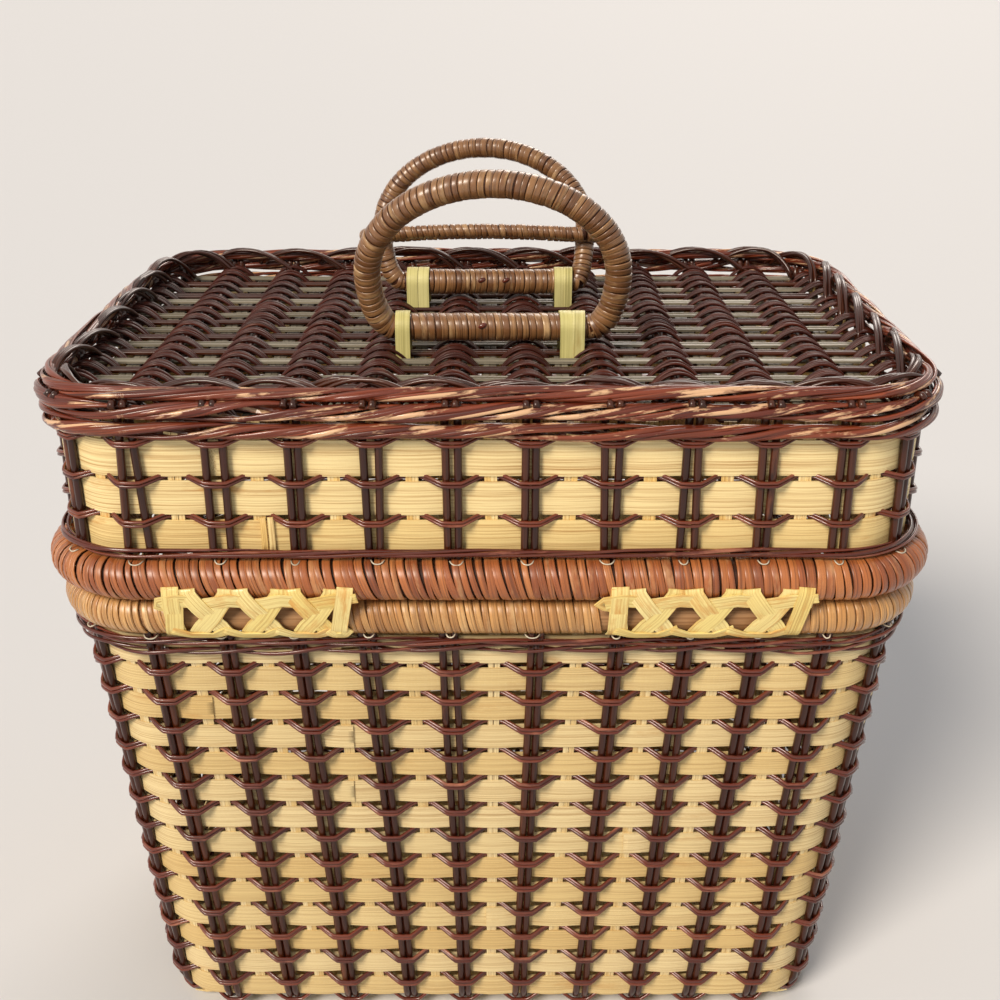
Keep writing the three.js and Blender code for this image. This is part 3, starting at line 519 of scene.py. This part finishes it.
def floor_weave():
    """Plain weave of flat strips in the floor's outline: each goes over one and under the next, both ways."""
    parts = []
    for along_x, reach, span in ((True, FLOOR_X, FLOOR_Y), (False, FLOOR_Y, FLOOR_X)):
        rows = np.arange(-span + FLOOR_PITCH / 2, span, FLOOR_PITCH)[:, None]
        corner = np.maximum(0, np.abs(rows) - (span - FLOOR_CORNER))
        ends = reach - (FLOOR_CORNER - np.sqrt(np.maximum(0, FLOOR_CORNER ** 2 - corner ** 2)))
        line = np.linspace(-1, 1, int(reach * 2 / 3)) * ends
        turn = np.arange(len(rows))[:, None] + (0 if along_x else 1)
        z = 4.6 + 0.75 * np.cos(math.pi * line / FLOOR_PITCH + math.pi * turn)
        p = xyz(line, rows, z) if along_x else xyz(rows, line, z)
        parts.append(strands(p, UP, 3.9, 0.45, STRIP))
    return parts


mesh_piece("base_floor_weave", floor_weave(), bamboo, "base", "bamboo_strip", "base_floor")


# Lid walls

LID_FOOT_GAPS = [6.5, 3.6, 0.4, 0.2, 0.3, 0.6, 0.3, 3.0, 0.2, 0.4]
LID_TOP_GAPS = [0.3, 3.8, 0.8, 2.6, 0.6, 0.4, 3.2, 0.3, 2.0, 0.5]
mesh_piece("lid_strips", [strip_rows([287.0, 305.2, 323.6], [7.85, 7.85, 8.2])],
           bamboo, "lid", "bamboo_strip", "lid_wall")
mesh_piece("lid_uprights", [pale_uprights(272.0, 340.0, 8.5, 2.7)], bamboo, "lid", "bamboo_strip")
mesh_piece("lid_stake_pairs", [stake_pairs(270.0, 351.0, 0.5, LID_FOOT_GAPS, LID_TOP_GAPS)],
           stake_cane, "lid", "dark_stake", "lid_stakes")


def stray_uprights():
    """Two pale splits that missed the weave, in front of the lid's lowest strip by the second front pair."""
    h = np.array([278.5, 284.0, 290.0, 296.5])
    u = 1.6 + np.array([[-0.055], [0.045]]) + np.array([[0.0, 0.004, 0.0, -0.006]])
    p, n = wall(u, -0.55, h)
    return strands(p, n, 1.3, 0.4, STRIP)


mesh_piece("lid_stray_uprights", [stray_uprights()], bamboo, "lid", "bamboo_strip")
mesh_piece("lid_weavers", [weaver_rows([296.3, 314.6, 333.0], 1.7, 0.82)], weaver_cane, "lid", "dark_weaver")
mesh_piece("lid_hoop_twining", [twined(280.7, 2.6, 1.8, 1.2, 5, 4, 1, 0.85, wild=0.14, waver=0.25)],
           weaver_cane, "lid", "dark_weaver", "lid_twining")


# Lid border: bundles of split cane outside, rolled stakes inside, and cut stake ends between the bands

mesh_piece("lid_border_bands", [
    twined(337.6, 3.7, 2.6, 2.5, 3, 3, 3, 1.15, 0.35, 0.2, 0.4),
    twined(346.5, 4.0, 2.7, 2.7, 3, 3, 3, 1.2, 0.35, 0.22, 0.4),
], border_cane, "lid", "border_cane", "lid_border_lower", "lid_border_middle")
mesh_piece("lid_border_crown", [twined(353.2, 0.6, 2.7, 2.3, 4, 3, 4, 1.0, 0.25, 0.24, 0.3)],
           border_cane, "lid", "border_cane", "lid_border_upper")


def stake_ends():
    """Short round ends of the wall's stakes, bent out and down between the two upper bands at each pair."""
    share = np.linspace(0, 1, 5)[None]
    length = rng.uniform(5.6, 6.9, (2 * PAIRS, 1))
    p, _ = wall(PAIR_OF + 2.1 * SIDE_OF / PAIR, 0.2 + share * length, 346.0 + 4.6 * np.sin(share * 2.4))
    radius = 1.8 - 0.3 * share ** 3
    return strands(p, UP, radius, radius, circle(8))


def rolled_stakes():
    """Stakes bent over as the inner roll: each three rise inside, cross the next three and end outside."""
    share = np.linspace(0, 1, 15)[None]
    start = np.repeat(np.arange(PAIRS), 3)[:, None] + rng.uniform(-0.1, 0.1, (3 * PAIRS, 1))
    k = np.tile([-1.0, 0.0, 1.0], PAIRS)[:, None]
    rise = rng.uniform(9.5, 12.5, (PAIRS, 1)).repeat(3, 0)
    offset = -8.2 + 8.4 * share ** 1.3 + k * 1.5 * (1 - 0.4 * share)
    z = 344.0 + rise * np.sin(math.pi * share) ** 0.75 + 4.5 * share
    p, _ = wall(start + 1.55 * share + 0.03 * k, offset, np.minimum(z, 358.0))
    return strands(p, UP, 1.15, 1.1, circle(6))


mesh_piece("lid_stake_ends", [stake_ends()], stake_cane, "lid", "dark_stake")
mesh_piece("lid_rolled_stakes", [rolled_stakes()], stake_cane, "lid", "dark_stake")


# Lid top: stiff sticks across under the ridges' stakes, and thin bundles between them over the stakes

RIDGE_COUNT = 10
STICK_PITCH = 13.8
STICK_DEPTHS = (np.arange(18) - 8.5) * STICK_PITCH + 0.1
STICK_HEIGHT = 341.8
TOP_HALF_DEPTH = 122.0


def top_end(y, inner):
    """How far along X the top reaches at depth y, inside the rounded corners."""
    corner = np.maximum(0, np.abs(y) - CORNER_Y)
    reach = CORNER_RADIUS + inner
    return float(CORNER_X + np.sqrt(np.maximum(0, reach ** 2 - corner ** 2)))


def top_bundles():
    """Four thin weavers in each space between sticks: round arches over the stakes, low and close between."""
    parts = []
    low, high = 339.0, 347.0
    for middle in np.concatenate([STICK_DEPTHS - STICK_PITCH / 2, [STICK_DEPTHS[-1] + STICK_PITCH / 2]]):
        under_bar = min(abs(middle - FRONT_HANDLE["y"]), abs(middle - REAR_HANDLE["y"])) < 17
        for k in (-1.5, -0.5, 0.5, 1.5):
            y = middle + k * 2.0 + rng.uniform(-0.2, 0.2)
            if abs(y) > TOP_HALF_DEPTH + 4:
                continue
            end = top_end(y, -0.5)
            x = np.arange(-end, end, 2.0)
            ridge = np.round(x / PAIR + 0.5)
            near = np.abs(x / PAIR + 0.5 - ridge)
            crown = high + (0 if under_bar else 0.9 * rng.uniform(0, 1, 14)[(ridge + 6).astype(int)])
            z = low + (crown - low) * np.cos(np.clip(near / 0.36, 0, 1) * math.pi / 2) ** 0.8
            wander = 0.5 * np.sin(x / PAIR * math.pi + rng.uniform(0, 6.28))
            close = -k * 0.75 * np.clip(near * 2.6, 0, 1)
            p = xyz(x, y + wander + close, z)[None]
            parts.append(strands(p, UP, rng.uniform(0.75, 1.0), 0.75, circle(6)))
    return parts


def top_sticks(dark):
    """Straight sticks across the top: by turns two dark round ones and a pale one of two flat splits."""
    parts = []
    for row in range(0 if dark else 1, len(STICK_DEPTHS), 2):
        end = top_end(STICK_DEPTHS[row], -3.0)
        x = np.arange(-end, end + 1, 8.5)
        for side in ((-1, 1) if dark else (0,)):
            bend = 0.45 * np.sin(x / rng.uniform(40, 90) + rng.uniform(0, 6.28))
            z = STICK_HEIGHT + 0.25 * np.sin(x / rng.uniform(25, 60) + row) + (0.1 if dark else 0.3)
            p = xyz(x, STICK_DEPTHS[row] + side * 1.35 + bend, z)[None]
            if dark:
                parts.append(strands(p, UP, 1.25, 1.25, circle(8)))
                continue
            for half in (-1, 1):
                split = p + np.array([0.0, half * 1.32, 0.12 * half])
                parts.append(strands(split, UP, 1.15, 0.62, STRIP, roll=rng.uniform(-0.25, 0.25)))
    return parts


def depth_runs(middles, apart, step, height):
    """Paths in twos from front to back of the top, apart on both sides of each middle, at one height."""
    y = np.arange(-TOP_HALF_DEPTH, TOP_HALF_DEPTH + 0.1, step)
    x = np.repeat(middles, 2) + np.tile([-apart, apart], len(middles))
    return xyz(x[:, None], y, height)


def top_pairs():
    """The ridges' dark stakes, in twos, from front to back on top of the sticks."""
    p = depth_runs((np.arange(RIDGE_COUNT) - 4.5) * PAIR, 1.85, 8.0, STICK_HEIGHT + 2.75)
    p[..., 0] += 0.4 * np.sin(p[..., 1] / 30 + np.repeat(np.arange(RIDGE_COUNT), 2)[:, None])
    return strands(p, UP, 1.7, 1.7, circle(8))


def top_uprights():
    """Flat pale splits from front to back, halfway between the ridges and under the sticks."""
    p = depth_runs((np.arange(RIDGE_COUNT + 1) - 5) * PAIR, 1.6, 6.0, STICK_HEIGHT - 1.7)
    return strands(p, UP, 1.45, 0.4, STRIP)


mesh_piece("lid_top_bundles", top_bundles(), top_cane, "lid", "border_cane", "lid_panel")
mesh_piece("lid_top_pale_sticks", top_sticks(False), grey_stick, "lid", "bamboo_strip")
mesh_piece("lid_top_dark_sticks", top_sticks(True), stake_cane, "lid", "dark_stake")
mesh_piece("lid_top_pairs", [top_pairs()], stake_cane, "lid", "dark_stake",
           *[f"lid_stake_pair_{i + 1}" for i in range(RIDGE_COUNT)])
mesh_piece("lid_top_uprights", [top_uprights()], grey_stick, "lid", "bamboo_strip")


# Hoops

def wound_ring(centre_at, places, half_width, radius, half_thick, tilt, roll):
    """Separate turns of flat peel on a rod: each is a ring, moved along by tilt times the sine of its angle.

    centre_at gives the rod's middle, its outward and its second direction at a distance along the rod.
    """
    angle = np.arange(20) / 20 * 2 * math.pi + math.pi
    middle, outward, second = centre_at(places[:, None] - tilt[:, None] * np.sin(angle)[None])
    ray = outward * np.cos(angle)[None, :, None] + second * np.sin(angle)[None, :, None]
    points = middle + ray * radius[:, None, None]
    return strands(points, ray, half_width[:, None], half_thick, PEEL, closed=True, roll=roll)


def hoop_centre(hoop):
    """The hoop's rod, by distance along it from the front's left pair."""
    def at(s):
        out = outward_at(s / PAIR)
        return place(s / PAIR, hoop["offset"], hoop["height"]), out, np.broadcast_to(UP, out.shape)
    return at


def turns(last, narrow, wide, gaps, gap, grow=1.0, first=0.0):
    """Middles and half widths of the turns between two distances, uneven, with a gap after a share of them.

    Grow is how many times wider they get over the front.
    """
    width = rng.uniform(narrow, wide, int((last - first) / narrow) + 1)
    width *= np.interp(np.cumsum(width), [0, FRONT_SPAN, 2 * FRONT_SPAN], [1, grow, 1])
    space = np.where(rng.uniform(0, 1, len(width)) < gaps, gap, 0.2)
    ends = first + np.cumsum(width + space)
    inside = ends < last
    return (ends - space - width / 2)[inside], width[inside] / 2


def wound_hoop(hoop, places, half_width, half_thick, tilt, loose):
    """Turns on a hoop, most leaned at the front's left. Loose is how far they differ in size and lean."""
    count = len(places)
    radius = hoop["radius"] - half_thick + rng.uniform(-0.25, 0.1, count) * loose
    lean = tilt * np.interp(places, [0, 120, 290, 420], [1, 0.9, 0.2, 0.7])
    lean = lean + rng.uniform(-0.8, 0.8, count) * loose
    roll = rng.uniform(-0.12, 0.12, count) * loose
    return wound_ring(hoop_centre(hoop), places, half_width, radius, half_thick, lean, roll)


# The base's hoop is bare under the two lacings: their spans along X
BARE_SPANS = ((-139, -63), (50, 138))
lid_places, lid_halves = turns(PAIRS * PAIR, 2.2, 3.5, 0.22, 1.0, 1.3)
mesh_piece("lid_hoop_wraps", [wound_hoop(LID_HOOP, lid_places, lid_halves, 0.4, 3.2, 1.0)],
           lid_wrap_cane, "lid", "wrapping_cane",
           "lid_hoop_wrap_front", "lid_hoop_wrap_right", "lid_hoop_wrap_left")
base_places, base_halves = turns(PAIRS * PAIR, 2.4, 3.1, 0.04, 0.6, 1.5)
front_x = base_places - CORNER_X
bare = np.any([(front_x > low) & (front_x < high) for low, high in BARE_SPANS], axis=0)
mesh_piece("base_hoop_wraps", [wound_hoop(BASE_HOOP, base_places[~bare], base_halves[~bare], 0.5, 2.2, 0.5)],
           base_wrap_cane, "base", "wrapping_cane", "base_hoop_wrap_front", "base_hoop_wrap_round")


def hoop_rod(hoop, radius):
    """The hoop's core as one closed rod round the basket."""
    u = around(8)
    p = place(u, hoop["offset"], hoop["height"])[None]
    return strands(p, outward_at(u)[None], radius, radius, circle(14), closed=True)


def stitches(height, offset):
    """Bright wire stitches at each pair: a short loop that hangs out of the weave and sags."""
    share = np.linspace(-1, 1, 9)[None]
    half = rng.uniform(1.8, 3.4, (PAIRS, 1))
    u = np.arange(PAIRS)[:, None] + rng.uniform(-2, 2, (PAIRS, 1)) / PAIR + half * share / PAIR
    h = height + rng.uniform(-0.4, 0.4, (PAIRS, 1)) - 1.0 * (1 - share ** 2)
    p, n = wall(u, offset - 2.2 * share ** 4, h)
    return strands(p, n, 0.33, 0.33, circle(6))


mesh_piece("lid_hoop_rod", [hoop_rod(LID_HOOP, 8.3)], hoop_shadow, "lid", "bare_wood", "lid_hoop_core")
mesh_piece("base_hoop_rod", [hoop_rod(BASE_HOOP, 7.9)], bare_wood, "base", "bare_wood", "base_hoop_core")
mesh_piece("lid_stitches", [stitches(277.6, 5.6)], stitch_wire, "lid")
mesh_piece("base_stitches", [stitches(240.2, 4.2)], stitch_wire, "base")


# Laced hinges

def lacing_front(z):
    """Depth of the lacing's front at height z above the parting plane: one sweep over both rounded hoops."""
    (lid_y, lid_z, lid_r), (base_y, base_z, base_r) = (
        (-(SIDE_Y + hoop["offset"]), hoop["height"] - PARTING, hoop["radius"])
        for hoop in (LID_HOOP, BASE_HOOP))
    flat = np.interp(z, [base_z, lid_z], [base_y - base_r, lid_y - lid_r])
    upper = lid_y - np.sqrt(np.maximum(0, lid_r ** 2 - (z - lid_z) ** 2))
    lower = base_y - np.sqrt(np.maximum(0, base_r ** 2 - (z - base_z) ** 2))
    return np.where(z > lid_z, upper, np.where(z < base_z, lower, flat))


def lacing_strip(half_width, *corners):
    """A flat cane over the lacing's front, through corners [x, z above the parting plane, lift off it]."""
    corners = np.array(corners, float)
    knots = np.concatenate([[0], np.cumsum(np.linalg.norm(np.diff(corners[:, :2], axis=0), axis=1))])
    s = np.linspace(0, knots[-1], 17)
    x, z, lift = (np.interp(s, knots, column) for column in corners.T)
    lift = np.convolve(np.pad(lift, 1, mode="edge"), [0.25, 0.5, 0.25], mode="valid")
    rise = lacing_front(z + 0.2) - lacing_front(z - 0.2)
    n = unit(xyz(0, -0.4, rise))
    p = xyz(x, lacing_front(z), z + PARTING) + n * lift[:, None]
    return strands(p[None], n[None], half_width, 0.34, STRIP)


def lacing(first, last, repeat):
    """Figure-of-eight lacing between two places along X.

    Strips fall to the right, others rise to the right over them, a band runs near the top and scallops run
    along the foot, each once a repeat. An upright strip closes each end. A short tail leaves to the right.
    """
    parts = []
    for top in np.arange(first + 10.5, last - 4, repeat):
        fall = min(14.8, last - top - 1)
        parts.append(lacing_strip(4.0, [top - 0.3, 9.6, 0.15], [top, 7.2, 1.1], [top + fall * 0.3, 0.8, 2.1],
                                  [top + fall, -14.0, 0.9], [top + fall + 0.6, -17.6, 0.2]))
    for foot in np.arange(first + 13.2 - repeat, last - 8, repeat):
        low, high = max(foot, first + 2.5), min(foot + 14.6, last - 7)
        middle = low + (high - low) * 0.45
        parts.append(lacing_strip(4.0, [low - 0.5, -17.6, 0.2], [low, -13.5, 1.1], [middle, -5.5, 1.9],
                                  [high, 6.9, 0.7], [high + 0.2, 9.4, 0.15]))
    for start in np.arange(first + 12.0 - repeat, last - 14, repeat):
        parts.append(lacing_strip(3.3, [max(start, first + 1.0), 0.4, 0.6], [start + 8, 2.3, 1.5],
                                  [start + repeat * 0.7, 4.2, 1.6], [start + repeat + 1, 3.0, 0.9]))
    for start in np.arange(first + 1.5, last - 10, repeat):
        reach = min(repeat + 3.5, last - 1 - start)
        parts.append(lacing_strip(2.3, [start, -12.4, 1.2], [start + reach * 0.3, -14.9, 1.7],
                                  [start + reach * 0.7, -15.1, 1.6], [start + reach, -12.0, 0.8]))
    parts.append(lacing_strip(3.6, [last - 1.6, 10.2, -0.6], [last - 1.8, 8.0, 1.7], [last - 3.5, -1.0, 2.2],
                              [last - 5.5, -12.5, 1.6], [last - 6, -17, 0.3]))
    parts.append(lacing_strip(3.8, [first + 3.2, 10.4, -0.6], [first + 3.3, 8.0, 1.5],
                              [first + 3.0, 0.5, 1.8], [first + 3.2, -9.0, 1.4], [first + 4.4, -17.0, 0.3]))
    parts.append(lacing_strip(2.4, [last - 8, 3.2, 0.9], [last - 1, 4.6, 1.2], [last + 3.5, 5.6, 1.6]))
    return parts


def laced_hinge(name, first, last, repeat):
    """One lacing as a single piece, reaching from the lid to the base across the parting plane."""
    hinge = mesh_piece(name, lacing(first, last, repeat), lacing_cane, None, "yellow_cane",
                       name + "_upper", name + "_lower")
    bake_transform(hinge)


laced_hinge("hinge_lacing_left", -142.0, -61.0, 23.0)
laced_hinge("hinge_lacing_right", 54.0, 140.0, 24.9)


# Handles

def handle_points(handle):
    """The D without its bar: half an ellipse above the waist, and a quarter ellipse in to each foot."""
    arch = np.linspace(0, math.pi, 60)
    foot = np.linspace(0, math.pi / 2, 16)[1:]
    half = handle["half"]
    left, right = (handle[side] + (half - handle[side]) * np.cos(foot) for side in ("left", "right"))
    x = np.concatenate([right[::-1], half * np.cos(arch), -left])
    low = handle["waist"] * (1 - np.sin(foot))
    z = np.concatenate([low[::-1], handle["waist"] + handle["rise"] * np.sin(arch), low])
    return xyz(x, 0, z)


def rod_along(points, across):
    """A rod's middle and two directions at a distance along a flat path, whose plane is square to across."""
    run = np.concatenate([[0], np.cumsum(np.linalg.norm(np.diff(points, axis=0), axis=1))])

    def point(s):
        return xyz(*(np.interp(s, run, column) for column in points.T))

    def at(s):
        s = np.clip(s, 0, run[-1])
        along = unit(point(s + 1) - point(s - 1))
        second = np.broadcast_to(np.array(across, float), along.shape)
        return point(s), np.cross(along, second), second
    return at, run[-1]


def leaned(part, handle, lean):
    """Moves a part from the handle's upright frame at its bar's middle to its place, leaned about the bar."""
    c, s = math.cos(lean), math.sin(lean)
    x, y, z = part["verts"].T
    part["verts"] = xyz(x + handle["x"], c * y - s * z + handle["y"], s * y + c * z + BAR_HEIGHT)
    return part


def wound_rod(points, across, sizes, pitch, thick=0.38, tilt=1.5):
    """A rod wound with peel: the turns, and the dark rod in them. Sizes are radii at even places along it."""
    at, length = rod_along(points, across)
    places, halves = turns(length, pitch * 0.8, pitch * 1.15, 0.04, 0.35, first=0.3)
    knots = np.linspace(0, length, len(sizes))
    count = len(places)
    lean = tilt + rng.uniform(-0.35, 0.35, count)
    reach = np.interp(places, knots, sizes) - thick + rng.uniform(-0.16, 0.06, count)
    wraps = wound_ring(at, places, halves, reach, thick, lean, rng.uniform(-0.12, 0.12, count))
    s = np.linspace(0, length, 60)
    middle, outward, _ = at(s)
    under = np.interp(s, knots, sizes) - 2 * thick + 0.2
    return wraps, strands(middle[None], outward[None], under[None], under[None], circle(12))


def wound_pieces(body, rods, rod_name):
    """Wound rods' turns as one piece that stands for the body's node, and the rods in them as another."""
    wraps, cores = zip(*rods)
    mesh_piece(body + "_wraps", wraps, handle_cane, body, "handle_rattan", body)
    mesh_piece(rod_name, cores, hoop_shadow, body, "handle_rattan")


def knots(handle, places):
    """Cane ends tucked in across a bar's turns: each is a short lump on its front, sunk in at both ends."""
    parts = []
    for x in places:
        share = np.linspace(-1, 1, 9)
        turn = math.radians(200) + 0.12 * share
        reach = BAR_RADIUS + 0.25 - 1.1 * share ** 4
        n = xyz(0, np.cos(turn), -np.sin(turn))
        p = xyz(x + 1.8 * share, reach * np.cos(turn), -reach * np.sin(turn))
        parts.append(leaned(strands(p[None], n[None], 1.2 - 0.5 * share ** 2, 0.6, SPLIT), handle, 0.0))
    return parts


def handle_piece(body, handle, lean, pitch):
    """A wound D on its bar: the bar is thickest between the ties and thins where the arch meets it."""
    arch = wound_rod(handle_points(handle), (0, 1, 0), [handle["tube"]], pitch)
    bar = np.linspace([-handle["left"] - 3.0, 0, 0], [handle["right"] + 3.0, 0, 0], 12)
    end, shoulder = handle["tube"] * 0.8, BAR_RADIUS - 0.6
    rods = [arch, wound_rod(bar, (0, 1, 0), [end, shoulder] + [BAR_RADIUS] * 10 + [shoulder, end], pitch)]
    wound_pieces(body, [[leaned(part, handle, lean) for part in rod] for rod in rods], body + "_wraps_rod")


handle_piece("front_handle", FRONT_HANDLE, LEAN, 3.0)
handle_piece("rear_handle", REAR_HANDLE, -LEAN, 2.8)
mesh_piece("front_handle_knots", knots(FRONT_HANDLE, [-5.0]), weaver_cane, "front_handle", "handle_rattan")
mesh_piece("rear_handle_knots", knots(REAR_HANDLE, [-1.0, 12.0]), weaver_cane, "rear_handle", "handle_rattan")


def keeper():
    """A long flat ring: two runs that bow up a little and two round ends, in the rear handle's own frame."""
    half_depth = REAR_HANDLE["tube"] + KEEPER_CLEARANCE + KEEPER_ROD
    straight = REAR_HANDLE["half"]
    end = np.linspace(-math.pi / 2, math.pi / 2, 20)
    run = np.linspace(1, -1, 14)[1:-1] * straight
    x = np.concatenate([straight + half_depth * np.cos(end), run, -straight - half_depth * np.cos(end), -run])
    y = half_depth * np.concatenate([np.sin(end), np.ones(12), -np.sin(end), -np.ones(12)])
    bow = 2.2 * (1 - np.minimum(1, (x / straight) ** 2))
    loop = xyz(x, y, KEEPER_HEIGHT + bow)
    rods = wound_rod(np.concatenate([loop, loop[:1]]), (0, 0, 1), [KEEPER_ROD], 2.9, tilt=0.8)
    return [leaned(part, REAR_HANDLE, -LEAN) for part in rods]


wound_pieces("keeper_ring", [keeper()], "keeper_ring_rod")


def tie(handle, middle, width, strips):
    """Flat cane over the bar and down through the lid on both sides, in one or two strips."""
    radius = BAR_RADIUS + 0.75
    angle = np.linspace(math.pi, 0, 17)
    out_y = np.concatenate([[-1.0] * 5, np.cos(angle), [1.0] * 5])
    out_z = np.concatenate([[0.0] * 5, np.sin(angle), [0.0] * 5])
    y = radius * out_y
    z = radius * out_z + np.concatenate([np.linspace(-18, -3, 5), [0.0] * 17, np.linspace(-3, -18, 5)])
    each = width / strips
    parts = []
    for k in range(strips):
        x = middle + (k - (strips - 1) / 2) * each
        lean = 0.5 * rng.uniform(-1, 1)
        p = xyz(x + lean * y / radius, y + handle["y"], z + BAR_HEIGHT)[None]
        parts.append(strands(p, xyz(0, out_y, out_z), each / 2 - 0.12, 0.42, STRIP))
    return parts


for end, handle, side, middle, width, strips in (
    ("front", FRONT_HANDLE, "left", -41.8, 7.2, 1),
    ("front", FRONT_HANDLE, "right", 39.4, 12.6, 2),
    ("rear", REAR_HANDLE, "left", -39.6, 12.2, 2),
    ("rear", REAR_HANDLE, "right", 39.2, 10.2, 2),
):
    mesh_piece(f"{end}_{side}_tie", tie(handle, middle, width, strips), tie_cane, "lid", "tie_cane",
               f"{end}_tie_{side}")


# Fastening at the back: a wound loop tied to the lid's hoop, a bent cane through the wall, and a peg in it

LOOP_Y, LOOP_ROD, LOOP_HALF, LOOP_LENGTH, LOOP_CORNER = 144.5, 2.6, 16.0, 62.0, 10.0
STAPLE_Y, STAPLE_Z, STAPLE_BEND, STAPLE_ROD, STAPLE_FOOT = 152.7, 222.0, 6.0, 2.2, 126.5
PEG_BACK = 22


def closure_loop():
    """A long ring with quarter circle corners, which hangs from its top run in the lid's hoop height."""
    angle = np.linspace(0, 2 * math.pi, 81)
    x = np.sign(np.cos(angle)) * (LOOP_HALF - LOOP_CORNER) + LOOP_CORNER * np.cos(angle)
    z = np.where(np.sin(angle) >= 0, -LOOP_CORNER, LOOP_CORNER - LOOP_LENGTH) + LOOP_CORNER * np.sin(angle)
    points = xyz(x, LOOP_Y, LID_HOOP["height"] + z)
    points = np.concatenate([points, points[:1]])
    return wound_rod(points, (0, -1, 0), [LOOP_ROD], 2.5, thick=0.28, tilt=0.5)


def closure_tie():
    """Three flat canes side by side round the hoop and the loop's top run: a belt round two circles."""
    angle = np.arange(48) / 48 * 2 * math.pi
    c, s = np.cos(angle), np.sin(angle)
    hoop_y, hoop_r, ear_r = SIDE_Y + LID_HOOP["offset"], LID_HOOP["radius"] + 0.45, LOOP_ROD + 0.9
    on_hoop = hoop_y * c + hoop_r > LOOP_Y * c + ear_r
    y = np.where(on_hoop, hoop_y + hoop_r * c, LOOP_Y + ear_r * c)
    z = LID_HOOP["height"] + np.where(on_hoop, hoop_r, ear_r) * s
    x = np.array([-4.7, 0.1, 4.8])[:, None] + 0.5 * s
    return strands(xyz(x, y, z), xyz(0, c, s), 2.25, 0.42, STRIP, closed=True)


def closure_staple():
    """A bent cane: out of the wall, half a turn round the peg and back in."""
    angle = np.linspace(math.pi / 2, -math.pi / 2, 13)
    leg = np.linspace(STAPLE_FOOT, STAPLE_Y, 6)[:-1]
    y = np.concatenate([leg, STAPLE_Y + STAPLE_BEND * np.cos(angle), leg[::-1]])
    z = STAPLE_BEND * np.concatenate([[1.0] * 5, np.sin(angle), [-1.0] * 5])
    return strands(xyz(0, y, STAPLE_Z + z)[None], [1.0, 0.0, 0.0], STAPLE_ROD, STAPLE_ROD, circle(12))


def closure_peg():
    """A whittled peg: a tapered tip, an even shank and a thicker head with a rounded edge."""
    along = np.array([0, 0.4, 2, 6, 12, 30, 53.6, 54.2, 54.8, 56, 60, 61.4, 62.0])
    radius = np.array([1.6, 2.3, 2.6, 3.1, 3.5, 3.45, 3.5, 3.6, 4.6, 5.0, 4.9, 4.3, 3.4])
    return strands(xyz(along - PEG_BACK, STAPLE_Y, STAPLE_Z)[None], UP, radius, radius, circle(16))


wound_pieces("closure_loop", [closure_loop()], "closure_loop_rod")
mesh_piece("closure_tie_canes", [closure_tie()], tie_cane, "lid", "tie_cane", "closure_tie")
mesh_piece("closure_staple_cane", [closure_staple()], handle_cane, "base", "handle_rattan", "closure_staple")
mesh_piece("closure_peg_wood", [closure_peg()], bare_wood, "closure_peg", "bare_wood", "closure_peg")


# Stage: floor, lights, camera

paint = bpy.data.materials.new("studio_floor_paint")
paint.use_nodes = True
painted = paint.node_tree.nodes["Principled BSDF"].inputs
painted["Base Color"].default_value, painted["Roughness"].default_value = linear("#d9dadc"), 0.8
bpy.ops.mesh.primitive_plane_add(size=240, location=(0, 0, 0))
floor = bpy.context.object
floor.name = "studio_floor"
floor.data.materials.append(paint)

world = bpy.data.worlds.new("studio_air")
bpy.context.scene.world = world
world.use_nodes = True
air = world.node_tree
air.nodes.clear()
# The air lights the basket softly, and what the eye and shiny things see of it is as pale as the floor
rays = add(air, "LightPath")
seen = rays["Is Camera Ray"]
for kind in ("Is Glossy Ray", "Is Transmission Ray"):
    seen = add(air, "Math", {"operation": "MAXIMUM"}, in0=seen, in1=rays[kind])["Value"]
soft = add(air, "Background", Color="#dde2e8", Strength=0.32)["Background"]
pale = add(air, "Background", Color="#e6dfd8", Strength=1.0)["Background"]
sky = add(air, "MixShader", in0=seen, in1=soft, in2=pale)["Shader"]
add(air, "OutputWorld", Surface=sky)


def sun(name, heading, height, spread, strength, colour):
    """A far lamp from a compass heading and a height in degrees: the same light over the whole floor."""
    data = bpy.data.lights.new(name, "SUN")
    data.angle, data.energy = math.radians(spread), strength
    data.color = linear(colour)[:3]
    obj = bpy.data.objects.new(name, data)
    bpy.context.scene.collection.objects.link(obj)
    obj.rotation_euler = (math.radians(90 - height), 0, math.radians(heading))


sun("key_light", -36, 40, 22, 3.3, "#fff2e2")
sun("back_light", 165, 34, 30, 1.15, "#fff4ea")

# The photograph's camera, fitted to the basket's edges: place in metres, pitch down in radians, lens
CAMERA_PLACE, CAMERA_DOWN, CAMERA_LENS = (0.0048, -0.645, (PARTING + 267.5) / 1000), 0.405, 46.8
camera_data = bpy.data.cameras.new("photo_camera")
camera_data.lens, camera_data.sensor_width = CAMERA_LENS, 36
camera = bpy.data.objects.new("photo_camera", camera_data)
bpy.context.scene.collection.objects.link(camera)
camera.location = CAMERA_PLACE
camera.rotation_euler = (math.pi / 2 - CAMERA_DOWN, 0, 0)
bpy.context.scene.camera = camera
bpy.context.scene.view_settings.view_transform = "Standard"
